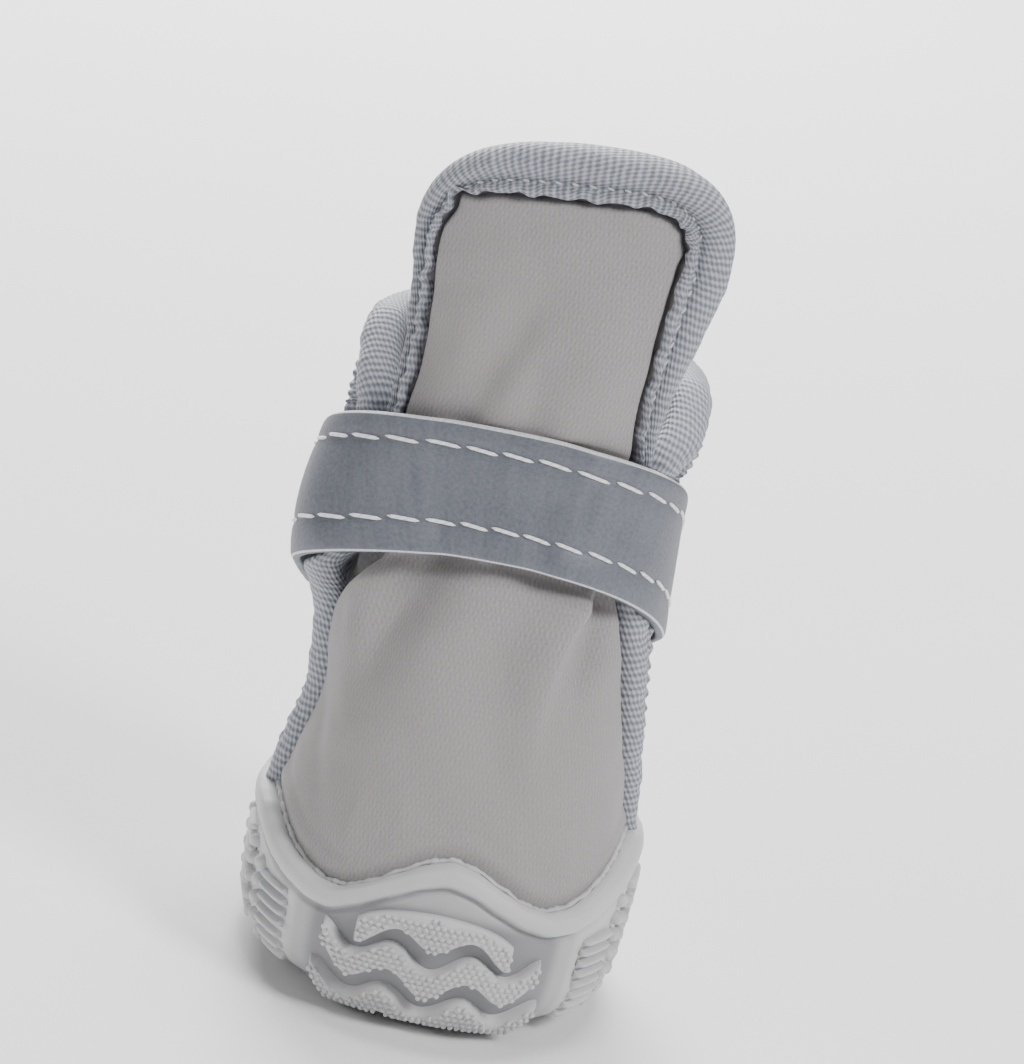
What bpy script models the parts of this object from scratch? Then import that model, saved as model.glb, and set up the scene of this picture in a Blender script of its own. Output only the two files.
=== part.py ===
"""Small dog boot: a two-panel soft-shell upper with taped edges, an ankle strap and a rubber cup sole.

Frame: metres, +Z up, toe towards -Y, the strap's free end on the -X side.  The origin is on the
ground under the middle of the sole, on the flat of a tread bar.

The whole boot follows one form, the last: a level section for each height, walked by its arc
length from the front centre.  A place on the boot is an arc, a height and a lift off that form.
"""

from functools import lru_cache
from math import ceil, cos, pi, radians, sin, sqrt

import bmesh
import bpy
import numpy as np

# Overall sizes
BOOT_HEIGHT = 0.0995
SOLE_LENGTH = 0.0525
SOLE_WIDTH = 0.0450

# Clearance between pieces
GAP = 0.0003

# Cup sole
CUP_WALL = 0.0017
CUP_FLOOR = 0.0026
LUG_HEIGHT = 0.0018
EDGE_ROUND_WIDTH = 0.0036
EDGE_ROUND_HEIGHT = 0.0048
TOE_SPRING = 0.0005
SPRING_START = 0.0140        # how far ahead of the origin the toe starts to lift
RIM_HEIGHT = 0.0208          # ground to the rim at the toe
BEAD_HEIGHT = 0.0026
BEAD_PROUD = 0.00045
GROOVE_DEPTH = 0.00045
GROOVE_WIDTH = 0.0009
CUP_STATIONS = 52            # places round the cup at which its section is set

# Toe lugs and tread bars
TOE_LUG_WIDTH = 0.0026
LUG_TAPER = 0.45             # how much thinner a toe lug is at its ends, as a share
TOE_LUG_PROUD = 0.0012
WAVE_HEIGHT = 0.0012
WAVE_LENGTH = 0.0080
BAR_WIDTH = 0.0030
BAR_PITCH = 0.0066
FEATURE_ROOT = 0.0005        # depth that a lug or rib is sunk into the cup

# Side ribs
RIB_HEIGHT = 0.0009
RIB_PITCH = 0.0016
RIB_PROUD = 0.0007

# Upper
UPPER_WALL = 0.0022
TONGUE_RISE = 0.0120         # height of the tongue's arched top
QUARTER_HEIGHT = 0.0745      # ground to the top of the quarter's tape
QUARTER_CORNER = 0.0080
QUARTER_RECEDE = 0.0050      # how far the quarter's front edges lean back at the top
SHAFT_TURN = 6.0             # degrees that the shaft's front is turned towards -X
SHAFT_LEAN = 0.0010          # how far the shaft leans towards -X
SLIT_BELOW_RIM = 0.0034      # how far below the rim the slits end

# Edge tape
TAPE = 0.0006
TAPE_REACH = 0.0044
TONGUE_TAPE_FOOT = 0.0570    # ground to the foot of the tongue's tape, under the strap
BARE_EDGE = 0.0060           # height over which the vamp's edge widens below that foot
NOSE_ROUND = 0.0007
NOSE_GAP = 0.0004            # between the two tapes, nose to nose

# Insole
INSOLE_THICKNESS = 0.0020
INSOLE_STATIONS = 44

# Strap and its closure
STRAP_WIDTH = 0.0130
STRAP_THICKNESS = 0.0016
STRAP_EASE = 0.0001          # slack under the strap, past the gap that all pieces keep
BAND_STEP = 0.0029           # length of strap or patch between two stations
STRAP_HEIGHT = 0.0612        # ground to the strap's middle at the front
STRAP_SLOPE = 0.55           # fall of the strap's middle per length towards the heel
STRAP_SIDE = -1              # the side of X on which the strap's free end closes
STRAP_SEWN_ARC = -0.0520     # arcs from the front centre, positive towards the free end
STRAP_FREE_ARC = 0.0600
LOOP_THICKNESS = 0.0009
LOOP_ARCS = (0.0380, 0.0640)
HOOK_THICKNESS = 0.0008
HOOK_ARCS = (0.0440, 0.0585)

# Columns of each panel on each side of its middle
VAMP_COLUMNS = 9
QUARTER_COLUMNS = 11

# The last's half width and half length, inside the cup
LAST_HALF_WIDTH = SOLE_WIDTH / 2 - CUP_WALL - GAP
LAST_HALF_LENGTH = SOLE_LENGTH / 2 - CUP_WALL - GAP
WIDEST_SHARE = 0.48          # where a level section is widest, from its front to its back

# Level sections: height as a share of BOOT_HEIGHT, half width as a share of LAST_HALF_WIDTH,
# front and back as shares of LAST_HALF_LENGTH, the squareness of the superellipse, the turn of
# the front towards -X as a share of SHAFT_TURN, and the lean to -X as a share of SHAFT_LEAN
SHAFT_COLUMNS = ("height", "half_width", "front", "back", "squareness", "turn", "lean")
SHAFT = (
    (0.03, 0.935, 0.965, 0.955, 2.25, 0.00, 0.00),
    (0.10, 0.965, 1.000, 0.990, 2.25, 0.00, 0.00),
    (0.18, 0.975, 0.985, 0.985, 2.25, 0.00, 0.00),
    (0.28, 0.925, 0.900, 0.965, 2.30, 0.15, 0.20),
    (0.40, 0.890, 0.775, 0.950, 2.30, 0.45, 0.90),
    (0.52, 0.885, 0.670, 0.960, 2.30, 0.75, 1.80),
    (0.62, 0.885, 0.610, 0.990, 2.30, 0.95, 2.10),
    (0.72, 0.890, 0.565, 1.030, 2.30, 1.00, 1.80),
    (0.80, 0.910, 0.530, 1.070, 2.30, 1.00, 1.40),
    (1.00, 0.930, 0.400, 1.100, 2.30, 1.00, 1.00),
)

# The vamp is narrower than the last above the strap and flares at the tongue's top: height as a
# share of BOOT_HEIGHT, and width as a share of the last's
TONGUE_COLUMNS = ("height", "width")
TONGUE = (
    (0.52, 1.00),
    (0.60, 0.97),
    (0.68, 0.94),
    (0.76, 0.96),
    (0.86, 1.14),
    (0.97, 1.45),
    (1.00, 1.48),
)

# Seam between vamp and quarter: height as a share of BOOT_HEIGHT, and the arcs from the front
# centre to the vamp's line and to the quarter's as shares of LAST_HALF_WIDTH
SEAM_COLUMNS = ("height", "vamp", "quarter")
SEAM = (
    (0.04, 1.60, 1.60),
    (0.18, 1.54, 1.54),
    (0.28, 1.37, 1.37),
    (0.37, 1.19, 1.19),
    (0.45, 1.05, 1.05),
    (0.52, 0.96, 0.96),
    (0.60, 0.85, 0.88),
    (0.68, 0.80, 0.84),
    (0.76, 0.81, 0.84),
    (0.88, 0.90, 0.89),
)

# Rows of both panels above the slits' foot, as shares of the way to the panel's top edge
OPEN_ROWS = (0.035, 0.11, 0.20, 0.30, 0.40, 0.50, 0.60, 0.69, 0.78, 0.86, 0.94, 1.0)

# The cup's waved rim: place as a share of the half perimeter from toe to heel, and height as a
# share of RIM_HEIGHT
RIM_COLUMNS = ("place", "height")
RIM = (
    (0.000, 1.000),
    (0.180, 0.740),
    (0.420, 0.955),
    (0.620, 0.890),
    (0.820, 0.830),
    (1.000, 1.000),
)

# The strap's lift off the form: arc from the front centre as a share of LAST_HALF_WIDTH, and the
# lift's kind at that place
STRAP_LIFT = (
    (-2.60, "flat"),
    (-1.86, "flat"),
    (-1.64, "over tape"),
    (-0.42, "over tape"),
    (-0.24, "flat"),
    (0.24, "flat"),
    (0.42, "over tape"),
    (1.30, "over tape"),
    (1.80, "over closure"),
    (3.20, "over closure"),
)

# Toe lugs from the top: height of the middle as a share of RIM_HEIGHT, half span as a share of
# LAST_HALF_WIDTH, waves of the upper and lower edges as shares of WAVE_HEIGHT, and how far the
# ends hang down, as a share of TOE_LUG_WIDTH
TOE_LUG_COLUMNS = ("height", "half_span", "upper_wave", "lower_wave", "hang")
TOE_LUGS = (
    (0.650, 0.45, 0.0, 1.0, 0.90),
    (0.370, 0.60, 1.0, 1.0, -0.35),
    (0.115, 0.63, 1.0, 1.0, -0.35),
)

# Blocks of side ribs from toe to heel: start and end as shares of the half perimeter
RIB_BLOCKS = (
    (0.245, 0.320),
    (0.395, 0.470),
    (0.595, 0.670),
    (0.745, 0.820),
)

# Level of the cup's floor and of what stands on it
FLOOR_LEVEL = LUG_HEIGHT + CUP_FLOOR
UPPER_BOTTOM = FLOOR_LEVEL + GAP
QUARTER_TOP = QUARTER_HEIGHT - TAPE - GAP
TONGUE_TOP = BOOT_HEIGHT - TAPE - GAP
TONGUE_CORNER = TONGUE_TOP - TONGUE_RISE
SLIT_HALF = TAPE + GAP + NOSE_GAP / 2
SLIT_OPENS = 0.0025          # height over which a slit opens at its foot
RECEDE_START = 0.65          # the lean of the quarter's edges, as a share of BOOT_HEIGHT
STEP = 0.0002                # step of the slopes that give a normal

FABRIC = (0.37, 0.35, 0.33)
TAPE_GREY = (0.27, 0.28, 0.30)
STRAP_GREY = (0.20, 0.21, 0.23)
RUBBER_GREY = (0.50, 0.50, 0.50)
LINING_GREY = (0.30, 0.30, 0.30)


def smooth_step(value, low, high):
    """0 below low, 1 above high, and an even S between them."""
    t = min(1.0, max(0.0, (value - low) / (high - low)))
    return t * t * (3 - 2 * t)


def table_value(table, column, at, level_ends=False):
    """Cubic through a table's rows, in its first column; level_ends makes each row a crest or dip."""
    keys = [row[0] for row in table]
    values = [row[column] for row in table]
    at = min(keys[-1], max(keys[0], at))
    i = max(0, min(len(keys) - 2, int(np.searchsorted(keys, at)) - 1))
    span = keys[i + 1] - keys[i]

    def slope(k):
        if level_ends or k == 0 or k == len(keys) - 1:
            return 0.0 if level_ends else (values[min(k + 1, len(keys) - 1)] - values[max(k - 1, 0)]) / span
        return (values[k + 1] - values[k - 1]) / (keys[k + 1] - keys[k - 1])

    t = (at - keys[i]) / span
    h00 = 2 * t ** 3 - 3 * t ** 2 + 1
    h10 = t ** 3 - 2 * t ** 2 + t
    return (h00 * values[i] + h10 * span * slope(i)
            + (1 - h00) * values[i + 1] + (t ** 3 - t ** 2) * span * slope(i + 1))


def column(columns, name):
    return columns.index(name)


@lru_cache(maxsize=None)
def level_curve(height, flare):
    """Half of a level section from toe to heel: a superellipse with its own front and back reach."""
    share = height / BOOT_HEIGHT
    half_width = LAST_HALF_WIDTH * flare * table_value(SHAFT, column(SHAFT_COLUMNS, "half_width"), share)
    front = -LAST_HALF_LENGTH * table_value(SHAFT, column(SHAFT_COLUMNS, "front"), share)
    back = LAST_HALF_LENGTH * table_value(SHAFT, column(SHAFT_COLUMNS, "back"), share)
    power = 2 / table_value(SHAFT, column(SHAFT_COLUMNS, "squareness"), share)
    middle = front + WIDEST_SHARE * (back - front)
    turn = np.linspace(0, pi, 181)
    across = np.abs(np.sin(turn)) ** power
    along = np.sign(np.cos(turn)) * np.abs(np.cos(turn)) ** power
    x = half_width * across
    y = middle + np.where(along > 0, along * (front - middle), -along * (back - middle))
    arc = np.concatenate(([0.0], np.cumsum(np.hypot(np.diff(x), np.diff(y)))))
    return x, y, arc, middle


def half_perimeter(height):
    return level_curve(height, 1.0)[2][-1]


def form_point(arc, height, flare=1.0):
    """The form's point at a signed arc from the front centre; past the heel it runs on round.

    The level section is turned about its own middle, and leans, as its row of SHAFT says.
    """
    x, y, arcs, middle = level_curve(height, flare)
    around = arcs[-1]
    if abs(arc) > around:
        arc = arc - 2 * around if arc > 0 else arc + 2 * around
    across = np.interp(abs(arc), arcs, x) * (1 if arc >= 0 else -1)
    along = np.interp(abs(arc), arcs, y) - middle
    turn = -radians(SHAFT_TURN) * table_value(SHAFT, column(SHAFT_COLUMNS, "turn"), height / BOOT_HEIGHT)
    lean = -SHAFT_LEAN * table_value(SHAFT, column(SHAFT_COLUMNS, "lean"), height / BOOT_HEIGHT)
    return np.array((lean + across * cos(turn) - along * sin(turn),
                     middle + across * sin(turn) + along * cos(turn), height))


def lifted(place, first, second, lift):
    """place(first, second) moved along the surface's outward normal by lift."""
    point = place(first, second)
    if lift == 0:
        return point
    along = place(first + STEP, second) - place(first - STEP, second)
    up = place(first, second + STEP) - place(first, second - STEP)
    normal = np.cross(along, up)
    return point + normal / np.linalg.norm(normal) * lift


def front_place(arc, height):
    """The form made narrower above the strap and wider towards the tongue's top."""
    flare = table_value(TONGUE, column(TONGUE_COLUMNS, "width"), height / BOOT_HEIGHT)
    return form_point(arc, height, flare)


def back_place(past_heel, height):
    """The form by its arc from the heel's centre, negative on the +X side and positive past it."""
    around = half_perimeter(height)
    return form_point(around + past_heel if past_heel <= 0 else past_heel - around, height)


def rim_height(share):
    """Height of the cup's rim at a share of the half perimeter."""
    return RIM_HEIGHT * table_value(RIM, column(RIM_COLUMNS, "height"), abs(share), level_ends=True)


def seam_arc(height, panel="quarter"):
    return LAST_HALF_WIDTH * table_value(SEAM, column(SEAM_COLUMNS, panel), height / BOOT_HEIGHT)


# The seam meets the rim near the form's half, where the slits end below the rim
SEAM_SHARE = seam_arc(RIM_HEIGHT) / half_perimeter(RIM_HEIGHT)
SEAM_RIM = rim_height(SEAM_SHARE)
SLIT_FOOT = SEAM_RIM - SLIT_BELOW_RIM


def slit_open(height):
    return smooth_step(height, SLIT_FOOT, SLIT_FOOT + SLIT_OPENS)


def vamp_half(height):
    """Arc from the front centre to the vamp's own edge: bare up to the strap, inside its tape above."""
    taped = smooth_step(height, TONGUE_TAPE_FOOT - BARE_EDGE, TONGUE_TAPE_FOOT)
    back = NOSE_GAP / 2 + (SLIT_HALF - NOSE_GAP / 2) * taped
    return seam_arc(height, "vamp") - back * slit_open(height)


def quarter_half(height):
    """Arc from the heel's centre to the quarter's own edge, which leans back near its top."""
    lean = QUARTER_RECEDE * smooth_step(height, RECEDE_START * BOOT_HEIGHT, QUARTER_TOP)
    return half_perimeter(height) - seam_arc(height) - SLIT_HALF * slit_open(height) - lean


def tongue_top(across):
    """Height of the vamp's top edge at a share across it: an arch between two corners."""
    return TONGUE_CORNER + TONGUE_RISE * (1 - abs(across) ** 2.5) ** 0.4


def quarter_top(across):
    """Height of the quarter's top edge at a share across it: level, with a round corner each end."""
    inward = quarter_half(QUARTER_TOP - QUARTER_CORNER) * (1 - abs(across))
    short = max(0.0, QUARTER_CORNER - inward)
    return QUARTER_TOP - QUARTER_CORNER + sqrt(QUARTER_CORNER ** 2 - short ** 2)


def new_object(name, points, faces, material, turn_out=True):
    """A smooth-shaded object from points and faces, triangulated, with its faces pointing out."""
    work = bmesh.new()
    corners = [work.verts.new(tuple(float(value) for value in point)) for point in points]
    for face in faces:
        work.faces.new([corners[i] for i in face])
    if turn_out:
        bmesh.ops.recalc_face_normals(work, faces=work.faces)
    bmesh.ops.triangulate(work, faces=work.faces)
    mesh = bpy.data.meshes.new(name)
    work.to_mesh(mesh)
    work.free()
    mesh.shade_smooth()
    mesh.set_sharp_from_angle(angle=radians(38))
    mesh.materials.append(material)
    item = bpy.data.objects.new(name, mesh)
    bpy.context.scene.collection.objects.link(item)
    return item


def new_material(name, colour, roughness):
    material = bpy.data.materials.new(name)
    material.use_nodes = True
    shader = material.node_tree.nodes["Principled BSDF"]
    shader.inputs["Base Color"].default_value = (*colour, 1.0)
    shader.inputs["Roughness"].default_value = roughness
    shader.inputs["Metallic"].default_value = 0.0
    return material


def tube_faces(count, size, closed_ends=True, start=0):
    """Faces of count rings of size points each, laid end to end, with both ends filled."""
    faces = []
    for i in range(count - 1):
        for j in range(size):
            a = start + i * size + j
            b = start + i * size + (j + 1) % size
            faces.append((a, b, b + size, a + size))
    if closed_ends:
        faces.append(tuple(start + j for j in range(size)))
        faces.append(tuple(start + (count - 1) * size + j for j in range(size)))
    return faces


def fan_faces(centre, ring_start, size):
    return [(centre, ring_start + j, ring_start + (j + 1) % size) for j in range(size)]


# Upper
def side_shares(count):
    """Shares from -1 to 1, somewhat closer together towards both edges."""
    return [0.6 * i / count + 0.4 * sin(pi / 2 * i / count) for i in range(-count, count + 1)]


def upper_sheet():
    """Points and faces of the upper's outer face: a band in the cup, then vamp and quarter apart."""
    shares_of = {"vamp": side_shares(VAMP_COLUMNS), "quarter": side_shares(QUARTER_COLUMNS)}
    low_rows = [UPPER_BOTTOM + (SLIT_FOOT - UPPER_BOTTOM) * share for share in (0.0, 0.35, 0.7, 1.0)]
    points = []
    lookup = {}

    def point_id(panel, row, place):
        last = len(shares_of[panel]) - 1
        if row < len(low_rows) and place in (0, last):
            key = ("seam", row, (place == last) == (panel == "vamp"))
        else:
            key = (panel, row, place)
        if key not in lookup:
            lookup[key] = len(points)
            points.append(sheet_point(panel, row, place))
        return lookup[key]

    def sheet_point(panel, row, place):
        share = shares_of[panel][place]
        if row < len(low_rows):
            height = low_rows[row]
        else:
            top = tongue_top(share) if panel == "vamp" else quarter_top(share)
            height = SLIT_FOOT + (top - SLIT_FOOT) * OPEN_ROWS[row - len(low_rows)]
        if panel == "vamp":
            return front_place(vamp_half(height) * share, height)
        return back_place(quarter_half(height) * share, height)

    faces = []
    for panel, shares in shares_of.items():
        for row in range(len(low_rows) + len(OPEN_ROWS) - 1):
            for place in range(len(shares) - 1):
                faces.append((point_id(panel, row, place), point_id(panel, row, place + 1),
                              point_id(panel, row + 1, place + 1), point_id(panel, row + 1, place)))
    return points, faces


def make_upper(material):
    """The sheet, given its wall on the inner side."""
    points, faces = upper_sheet()
    work = bmesh.new()
    corners = [work.verts.new(tuple(point)) for point in points]
    for face in faces:
        work.faces.new([corners[i] for i in face])
    mesh = bpy.data.meshes.new("upper")
    work.to_mesh(mesh)
    work.free()
    mesh.shade_smooth()
    mesh.materials.append(material)
    item = bpy.data.objects.new("upper", mesh)
    bpy.context.scene.collection.objects.link(item)
    wall = item.modifiers.new("wall", "SOLIDIFY")
    wall.thickness = UPPER_WALL
    wall.offset = -1.0
    wall.use_even_offset = True
    return item


# Edge tape
def tape_profile():
    """The folded tape's section: (distance in from the panel's edge, lift off its outer face)."""
    inside = UPPER_WALL + GAP
    outside = inside + TAPE
    nose = GAP + TAPE
    return (
        (TAPE_REACH, GAP), (TAPE_REACH / 2, GAP), (-GAP, GAP),
        (-GAP, -inside), (TAPE_REACH / 2, -inside), (TAPE_REACH, -inside),
        (TAPE_REACH, -outside), (TAPE_REACH / 2, -outside), (-nose + NOSE_ROUND, -outside),
        (-nose, -outside + NOSE_ROUND), (-nose, nose - NOSE_ROUND), (-nose + NOSE_ROUND, nose),
        (TAPE_REACH / 2, nose), (TAPE_REACH, nose),
    )


def tape_along(name, path, place, inward, material):
    """The tape's section carried along a panel's edge, laid on the form at every point.

    The path is a list of (arc, height); inward is +1 or -1, the side of the path's own
    direction, turned left, on which the panel lies.
    """
    profile = tape_profile()
    path = np.array(path)
    heading = np.gradient(path, axis=0)
    heading /= np.linalg.norm(heading, axis=1)[:, None]
    into = inward * np.stack((-heading[:, 1], heading[:, 0]), axis=1)
    foot = path[0][1]
    points = []
    for i, (spot, turn) in enumerate(zip(path, into)):
        if i in (0, len(path) - 1):
            turn = np.array((np.sign(turn[0]), 0.0))
        for reach, lift in profile:
            arc, height = spot + turn * reach
            point = lifted(place, arc, height, lift)
            if i in (0, len(path) - 1):
                point[2] = foot
            points.append(point)
    faces = tube_faces(len(path), len(profile))
    return new_object(name, points, faces, material)


def edge_rows(corner, above):
    """Heights of the panel's rows up its side, above a height."""
    rows = [SLIT_FOOT + (corner - SLIT_FOOT) * share for share in OPEN_ROWS]
    return [height for height in rows[:-1] if height > above]


def tongue_edge():
    """The tongue's edge from under the strap on +X, over the top, to under the strap on -X."""
    side = [(vamp_half(height), height) for height in edge_rows(TONGUE_CORNER, TONGUE_TAPE_FOOT)]
    arch = []
    for turn in np.linspace(0, pi, 19):
        across = np.sign(cos(turn)) * abs(cos(turn)) ** 0.8
        height = TONGUE_CORNER + TONGUE_RISE * abs(sin(turn)) ** 0.8
        arch.append((vamp_half(height) * across, height))
    return side + arch + [(-arc, height) for arc, height in side[::-1]]


def quarter_edge():
    """The quarter's edge from the rim on -X, round behind the heel, to the rim on +X."""
    corner = QUARTER_TOP - QUARTER_CORNER
    foot = SEAM_RIM + GAP
    half = [(quarter_half(height), height) for height in [foot] + edge_rows(corner, foot + TAPE)]
    shares = []
    for turn in np.linspace(0, pi / 2, 6):
        shares.append(1 - QUARTER_CORNER * (1 - cos(turn)) / quarter_half(corner))
    shares += [share for share in side_shares(QUARTER_COLUMNS)[::-1] if 0 <= share < shares[-1] - 0.02]
    for share in shares:
        height = quarter_top(share)
        half.append((quarter_half(height) * share, height))
    return half + [(-arc, height) for arc, height in half[-2::-1]]


# Insole
def make_insole(material):
    """A plate that fills the upper's inside, with a loose gap all round."""
    low = UPPER_BOTTOM
    high = low + INSOLE_THICKNESS
    inside = -(UPPER_WALL + 2 * GAP)
    count = INSOLE_STATIONS
    points = []
    for height in (low, high):
        for i in range(count):
            share = 2 * i / count - 1
            points.append(lifted(form_point, share * half_perimeter(height), height, inside))
    for i in range(count):
        points[i][2] = low
        points[count + i][2] = high
    points.append(np.array((0.0, 0.0, low)))
    points.append(np.array((0.0, 0.0, high)))
    faces = tube_faces(2, count, closed_ends=False)
    faces += fan_faces(2 * count, 0, count) + fan_faces(2 * count + 1, count, count)
    return new_object("insole", points, faces, material)


# Strap and closure
@lru_cache(maxsize=None)
def strap_height(arc):
    """Height of the strap's middle at an arc: a plane that falls towards the heel."""
    height = STRAP_HEIGHT
    front = form_point(0.0, STRAP_HEIGHT)[1]
    for _ in range(12):
        height = STRAP_HEIGHT - STRAP_SLOPE * (form_point(arc, height)[1] - front)
    return height


def strap_lift(arc):
    kinds = {
        "flat": GAP + STRAP_EASE,
        "over tape": 2 * GAP + TAPE + STRAP_EASE,
        "over closure": 3 * GAP + LOOP_THICKNESS + HOOK_THICKNESS + STRAP_EASE,
    }
    places = [LAST_HALF_WIDTH * place for place, _ in STRAP_LIFT]
    return float(np.interp(arc, places, [kinds[kind] for _, kind in STRAP_LIFT]))


def band_along(name, stations, thickness, material):
    """A flat band on the strap's line from stations of (arc, half width, lift)."""
    points = []
    across = (-1.0, 0.0, 1.0)
    for own_arc, half, lift in stations:
        arc = STRAP_SIDE * own_arc
        rise = (strap_height(arc + STEP) - strap_height(arc - STEP)) / (2 * STEP)
        side = np.array((-rise, 1.0)) / sqrt(1 + rise * rise)
        spot = np.array((arc, strap_height(arc)))
        for level, order in ((lift, across), (lift + thickness, across[::-1])):
            for share in order:
                place = spot + side * half * share
                points.append(lifted(form_point, place[0], place[1], level))
    return new_object(name, points, tube_faces(len(stations), 2 * len(across)), material)


def make_strap(material):
    """The strap from its sewn end, over the front, to its rounded free end."""
    half = STRAP_WIDTH / 2
    span = STRAP_FREE_ARC - STRAP_SEWN_ARC
    count = ceil(span / BAND_STEP)
    arcs = [STRAP_SEWN_ARC + (span - half) * i / count for i in range(count + 1)]
    stations = [(arc, half, strap_lift(arc)) for arc in arcs]
    for turn in (30, 55, 75):
        arc = STRAP_FREE_ARC - half + half * sin(radians(turn))
        stations.append((arc, half * cos(radians(turn)), strap_lift(arc)))
    return band_along("strap", stations, STRAP_THICKNESS, material)


def make_patch(name, arcs, lift, thickness, width, material):
    count = ceil((arcs[1] - arcs[0]) / BAND_STEP)
    stations = [(arcs[0] + (arcs[1] - arcs[0]) * i / count, width / 2, lift) for i in range(count + 1)]
    return band_along(name, stations, thickness, material)


# Outsole
def toe_lift(y):
    """How far the toe springs off the ground at a place along the sole."""
    ahead = max(0.0, -y - SPRING_START) / (SOLE_LENGTH / 2 - SPRING_START)
    return TOE_SPRING * ahead ** 2


def wall_point(share, height, proud=0.0):
    """The cup's outer face at a share of the half perimeter and a height, moved out by proud."""
    level = max(0.0, height - LUG_HEIGHT)
    inset = 0.0
    if level < EDGE_ROUND_HEIGHT:
        inset = EDGE_ROUND_WIDTH * (1 - sqrt(1 - (1 - level / EDGE_ROUND_HEIGHT) ** 2))

    def flat_wall(part, at):
        return form_point(part * half_perimeter(at), at)

    point = lifted(flat_wall, share, height, GAP + CUP_WALL - inset + proud)
    point[2] = height + toe_lift(point[1]) * (1 - smooth_step(height, LUG_HEIGHT, RIM_HEIGHT))
    return point


def skin_point(share, height, out):
    """A place on the cup's outer face, moved out along the face's own normal."""
    turn = STEP / half_perimeter(height)
    along = wall_point(share + turn, height) - wall_point(share - turn, height)
    up = wall_point(share, height + STEP) - wall_point(share, max(LUG_HEIGHT, height - STEP))
    normal = np.cross(along, up)
    return wall_point(share, height) + normal / np.linalg.norm(normal) * out


def cup_rings():
    """Rings of the cup from the middle of its underside, over the rim, to the edge of its floor."""
    shares = [2 * i / CUP_STATIONS - 1 for i in range(CUP_STATIONS)]
    round_top = LUG_HEIGHT + EDGE_ROUND_HEIGHT
    under = [wall_point(share, LUG_HEIGHT) for share in shares]
    rings = [[np.array((point[0] / 2, point[1] / 2, LUG_HEIGHT)) for point in under], under]
    for level in (0.10, 0.32, 0.62, 1.0):
        rings.append([wall_point(share, LUG_HEIGHT + EDGE_ROUND_HEIGHT * level) for share in shares])
    rings.append([wall_point(share, (round_top + rim_height(share) - BEAD_HEIGHT) / 2) for share in shares])
    bead = (
        (BEAD_HEIGHT + GROOVE_WIDTH, 0.0),
        (BEAD_HEIGHT + 0.3 * GROOVE_WIDTH, -GROOVE_DEPTH),
        (BEAD_HEIGHT * 0.9, 0.1 * BEAD_PROUD),
        (BEAD_HEIGHT * 0.5, BEAD_PROUD),
        (BEAD_HEIGHT * 0.1, 0.2 * BEAD_PROUD),
        (0.0, -0.4 * CUP_WALL),
    )
    for drop, proud in bead:
        rings.append([wall_point(share, rim_height(share) - drop, proud) for share in shares])
    for level in (0.97, 0.55, 0.0):
        ring = []
        for share in shares:
            height = FLOOR_LEVEL + (rim_height(share) - FLOOR_LEVEL) * level
            point = lifted(form_point, share * half_perimeter(height), height, GAP)
            point[2] = height
            ring.append(point)
        rings.append(ring)
    return rings


def make_cup(material):
    rings = cup_rings()
    points = [point for ring in rings for point in ring]
    faces = tube_faces(len(rings), CUP_STATIONS, closed_ends=False)
    points.append(np.array((0.0, 0.0, LUG_HEIGHT)))
    points.append(np.array((0.0, 0.0, FLOOR_LEVEL)))
    faces += fan_faces(len(points) - 2, 0, CUP_STATIONS)
    faces += fan_faces(len(points) - 1, (len(rings) - 1) * CUP_STATIONS, CUP_STATIONS)
    return new_object("outsole", points, faces, material)


def wave(distance):
    """The sole's wave, with a dip at its middle."""
    return -WAVE_HEIGHT * cos(2 * pi * distance / WAVE_LENGTH)


def toe_lug(height, half_span, upper_wave, lower_wave, hang):
    """A waved lug across the toe: a section with a soft face carried along the cup's wall."""
    middle = RIM_HEIGHT * height
    reach = LAST_HALF_WIDTH * half_span
    section = ((-1.0, -FEATURE_ROOT), (-0.85, 0.8 * TOE_LUG_PROUD), (0.0, TOE_LUG_PROUD),
               (0.85, 0.8 * TOE_LUG_PROUD), (1.0, -FEATURE_ROOT))
    count = ceil(2 * reach / (WAVE_LENGTH / 6))
    points = []
    for i in range(count + 1):
        along = 2 * i / count - 1
        arc = reach * along
        line = middle - hang * TOE_LUG_WIDTH * along ** 2
        half = TOE_LUG_WIDTH / 2 * (1 - LUG_TAPER * along ** 6)
        high = line + half + upper_wave * wave(arc)
        low = line - half + lower_wave * wave(arc)
        for up, out in section:
            spot = max(LUG_HEIGHT, (low + high) / 2 + up * (high - low) / 2)
            points.append(skin_point(arc / half_perimeter(middle), spot, out))
    return points, tube_faces(count + 1, len(section))


def side_rib(start, end, height):
    """A level rib on the cup's side between two shares of the half perimeter."""
    half = RIB_HEIGHT / 2
    section = ((-half, -FEATURE_ROOT), (-0.6 * half, RIB_PROUD),
               (0.6 * half, RIB_PROUD), (half, -FEATURE_ROOT))
    points = []
    for share in (start, end):
        points += [skin_point(share, height + up, out) for up, out in section]
    return points, tube_faces(2, len(section))


def side_ribs():
    """Blocks of ribs on both sides, up to the groove under the bead."""
    first = LUG_HEIGHT + RIB_PITCH
    ribs = []
    for start, end in RIB_BLOCKS:
        top = min(rim_height(start), rim_height(end)) - BEAD_HEIGHT - RIB_PITCH
        for row in range(int((top - first) / RIB_PITCH) + 1):
            height = first + row * RIB_PITCH
            ribs.append(side_rib(start, end, height))
            ribs.append(side_rib(-start, -end, height))
    return ribs


def underside_half_width(y):
    """Half width of the cup's flat underside at a place along the sole."""
    edge = np.array([wall_point(share, LUG_HEIGHT)[:2] for share in np.linspace(0, 1, 61)])
    return float(np.interp(y, edge[:, 1], edge[:, 0]))


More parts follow.
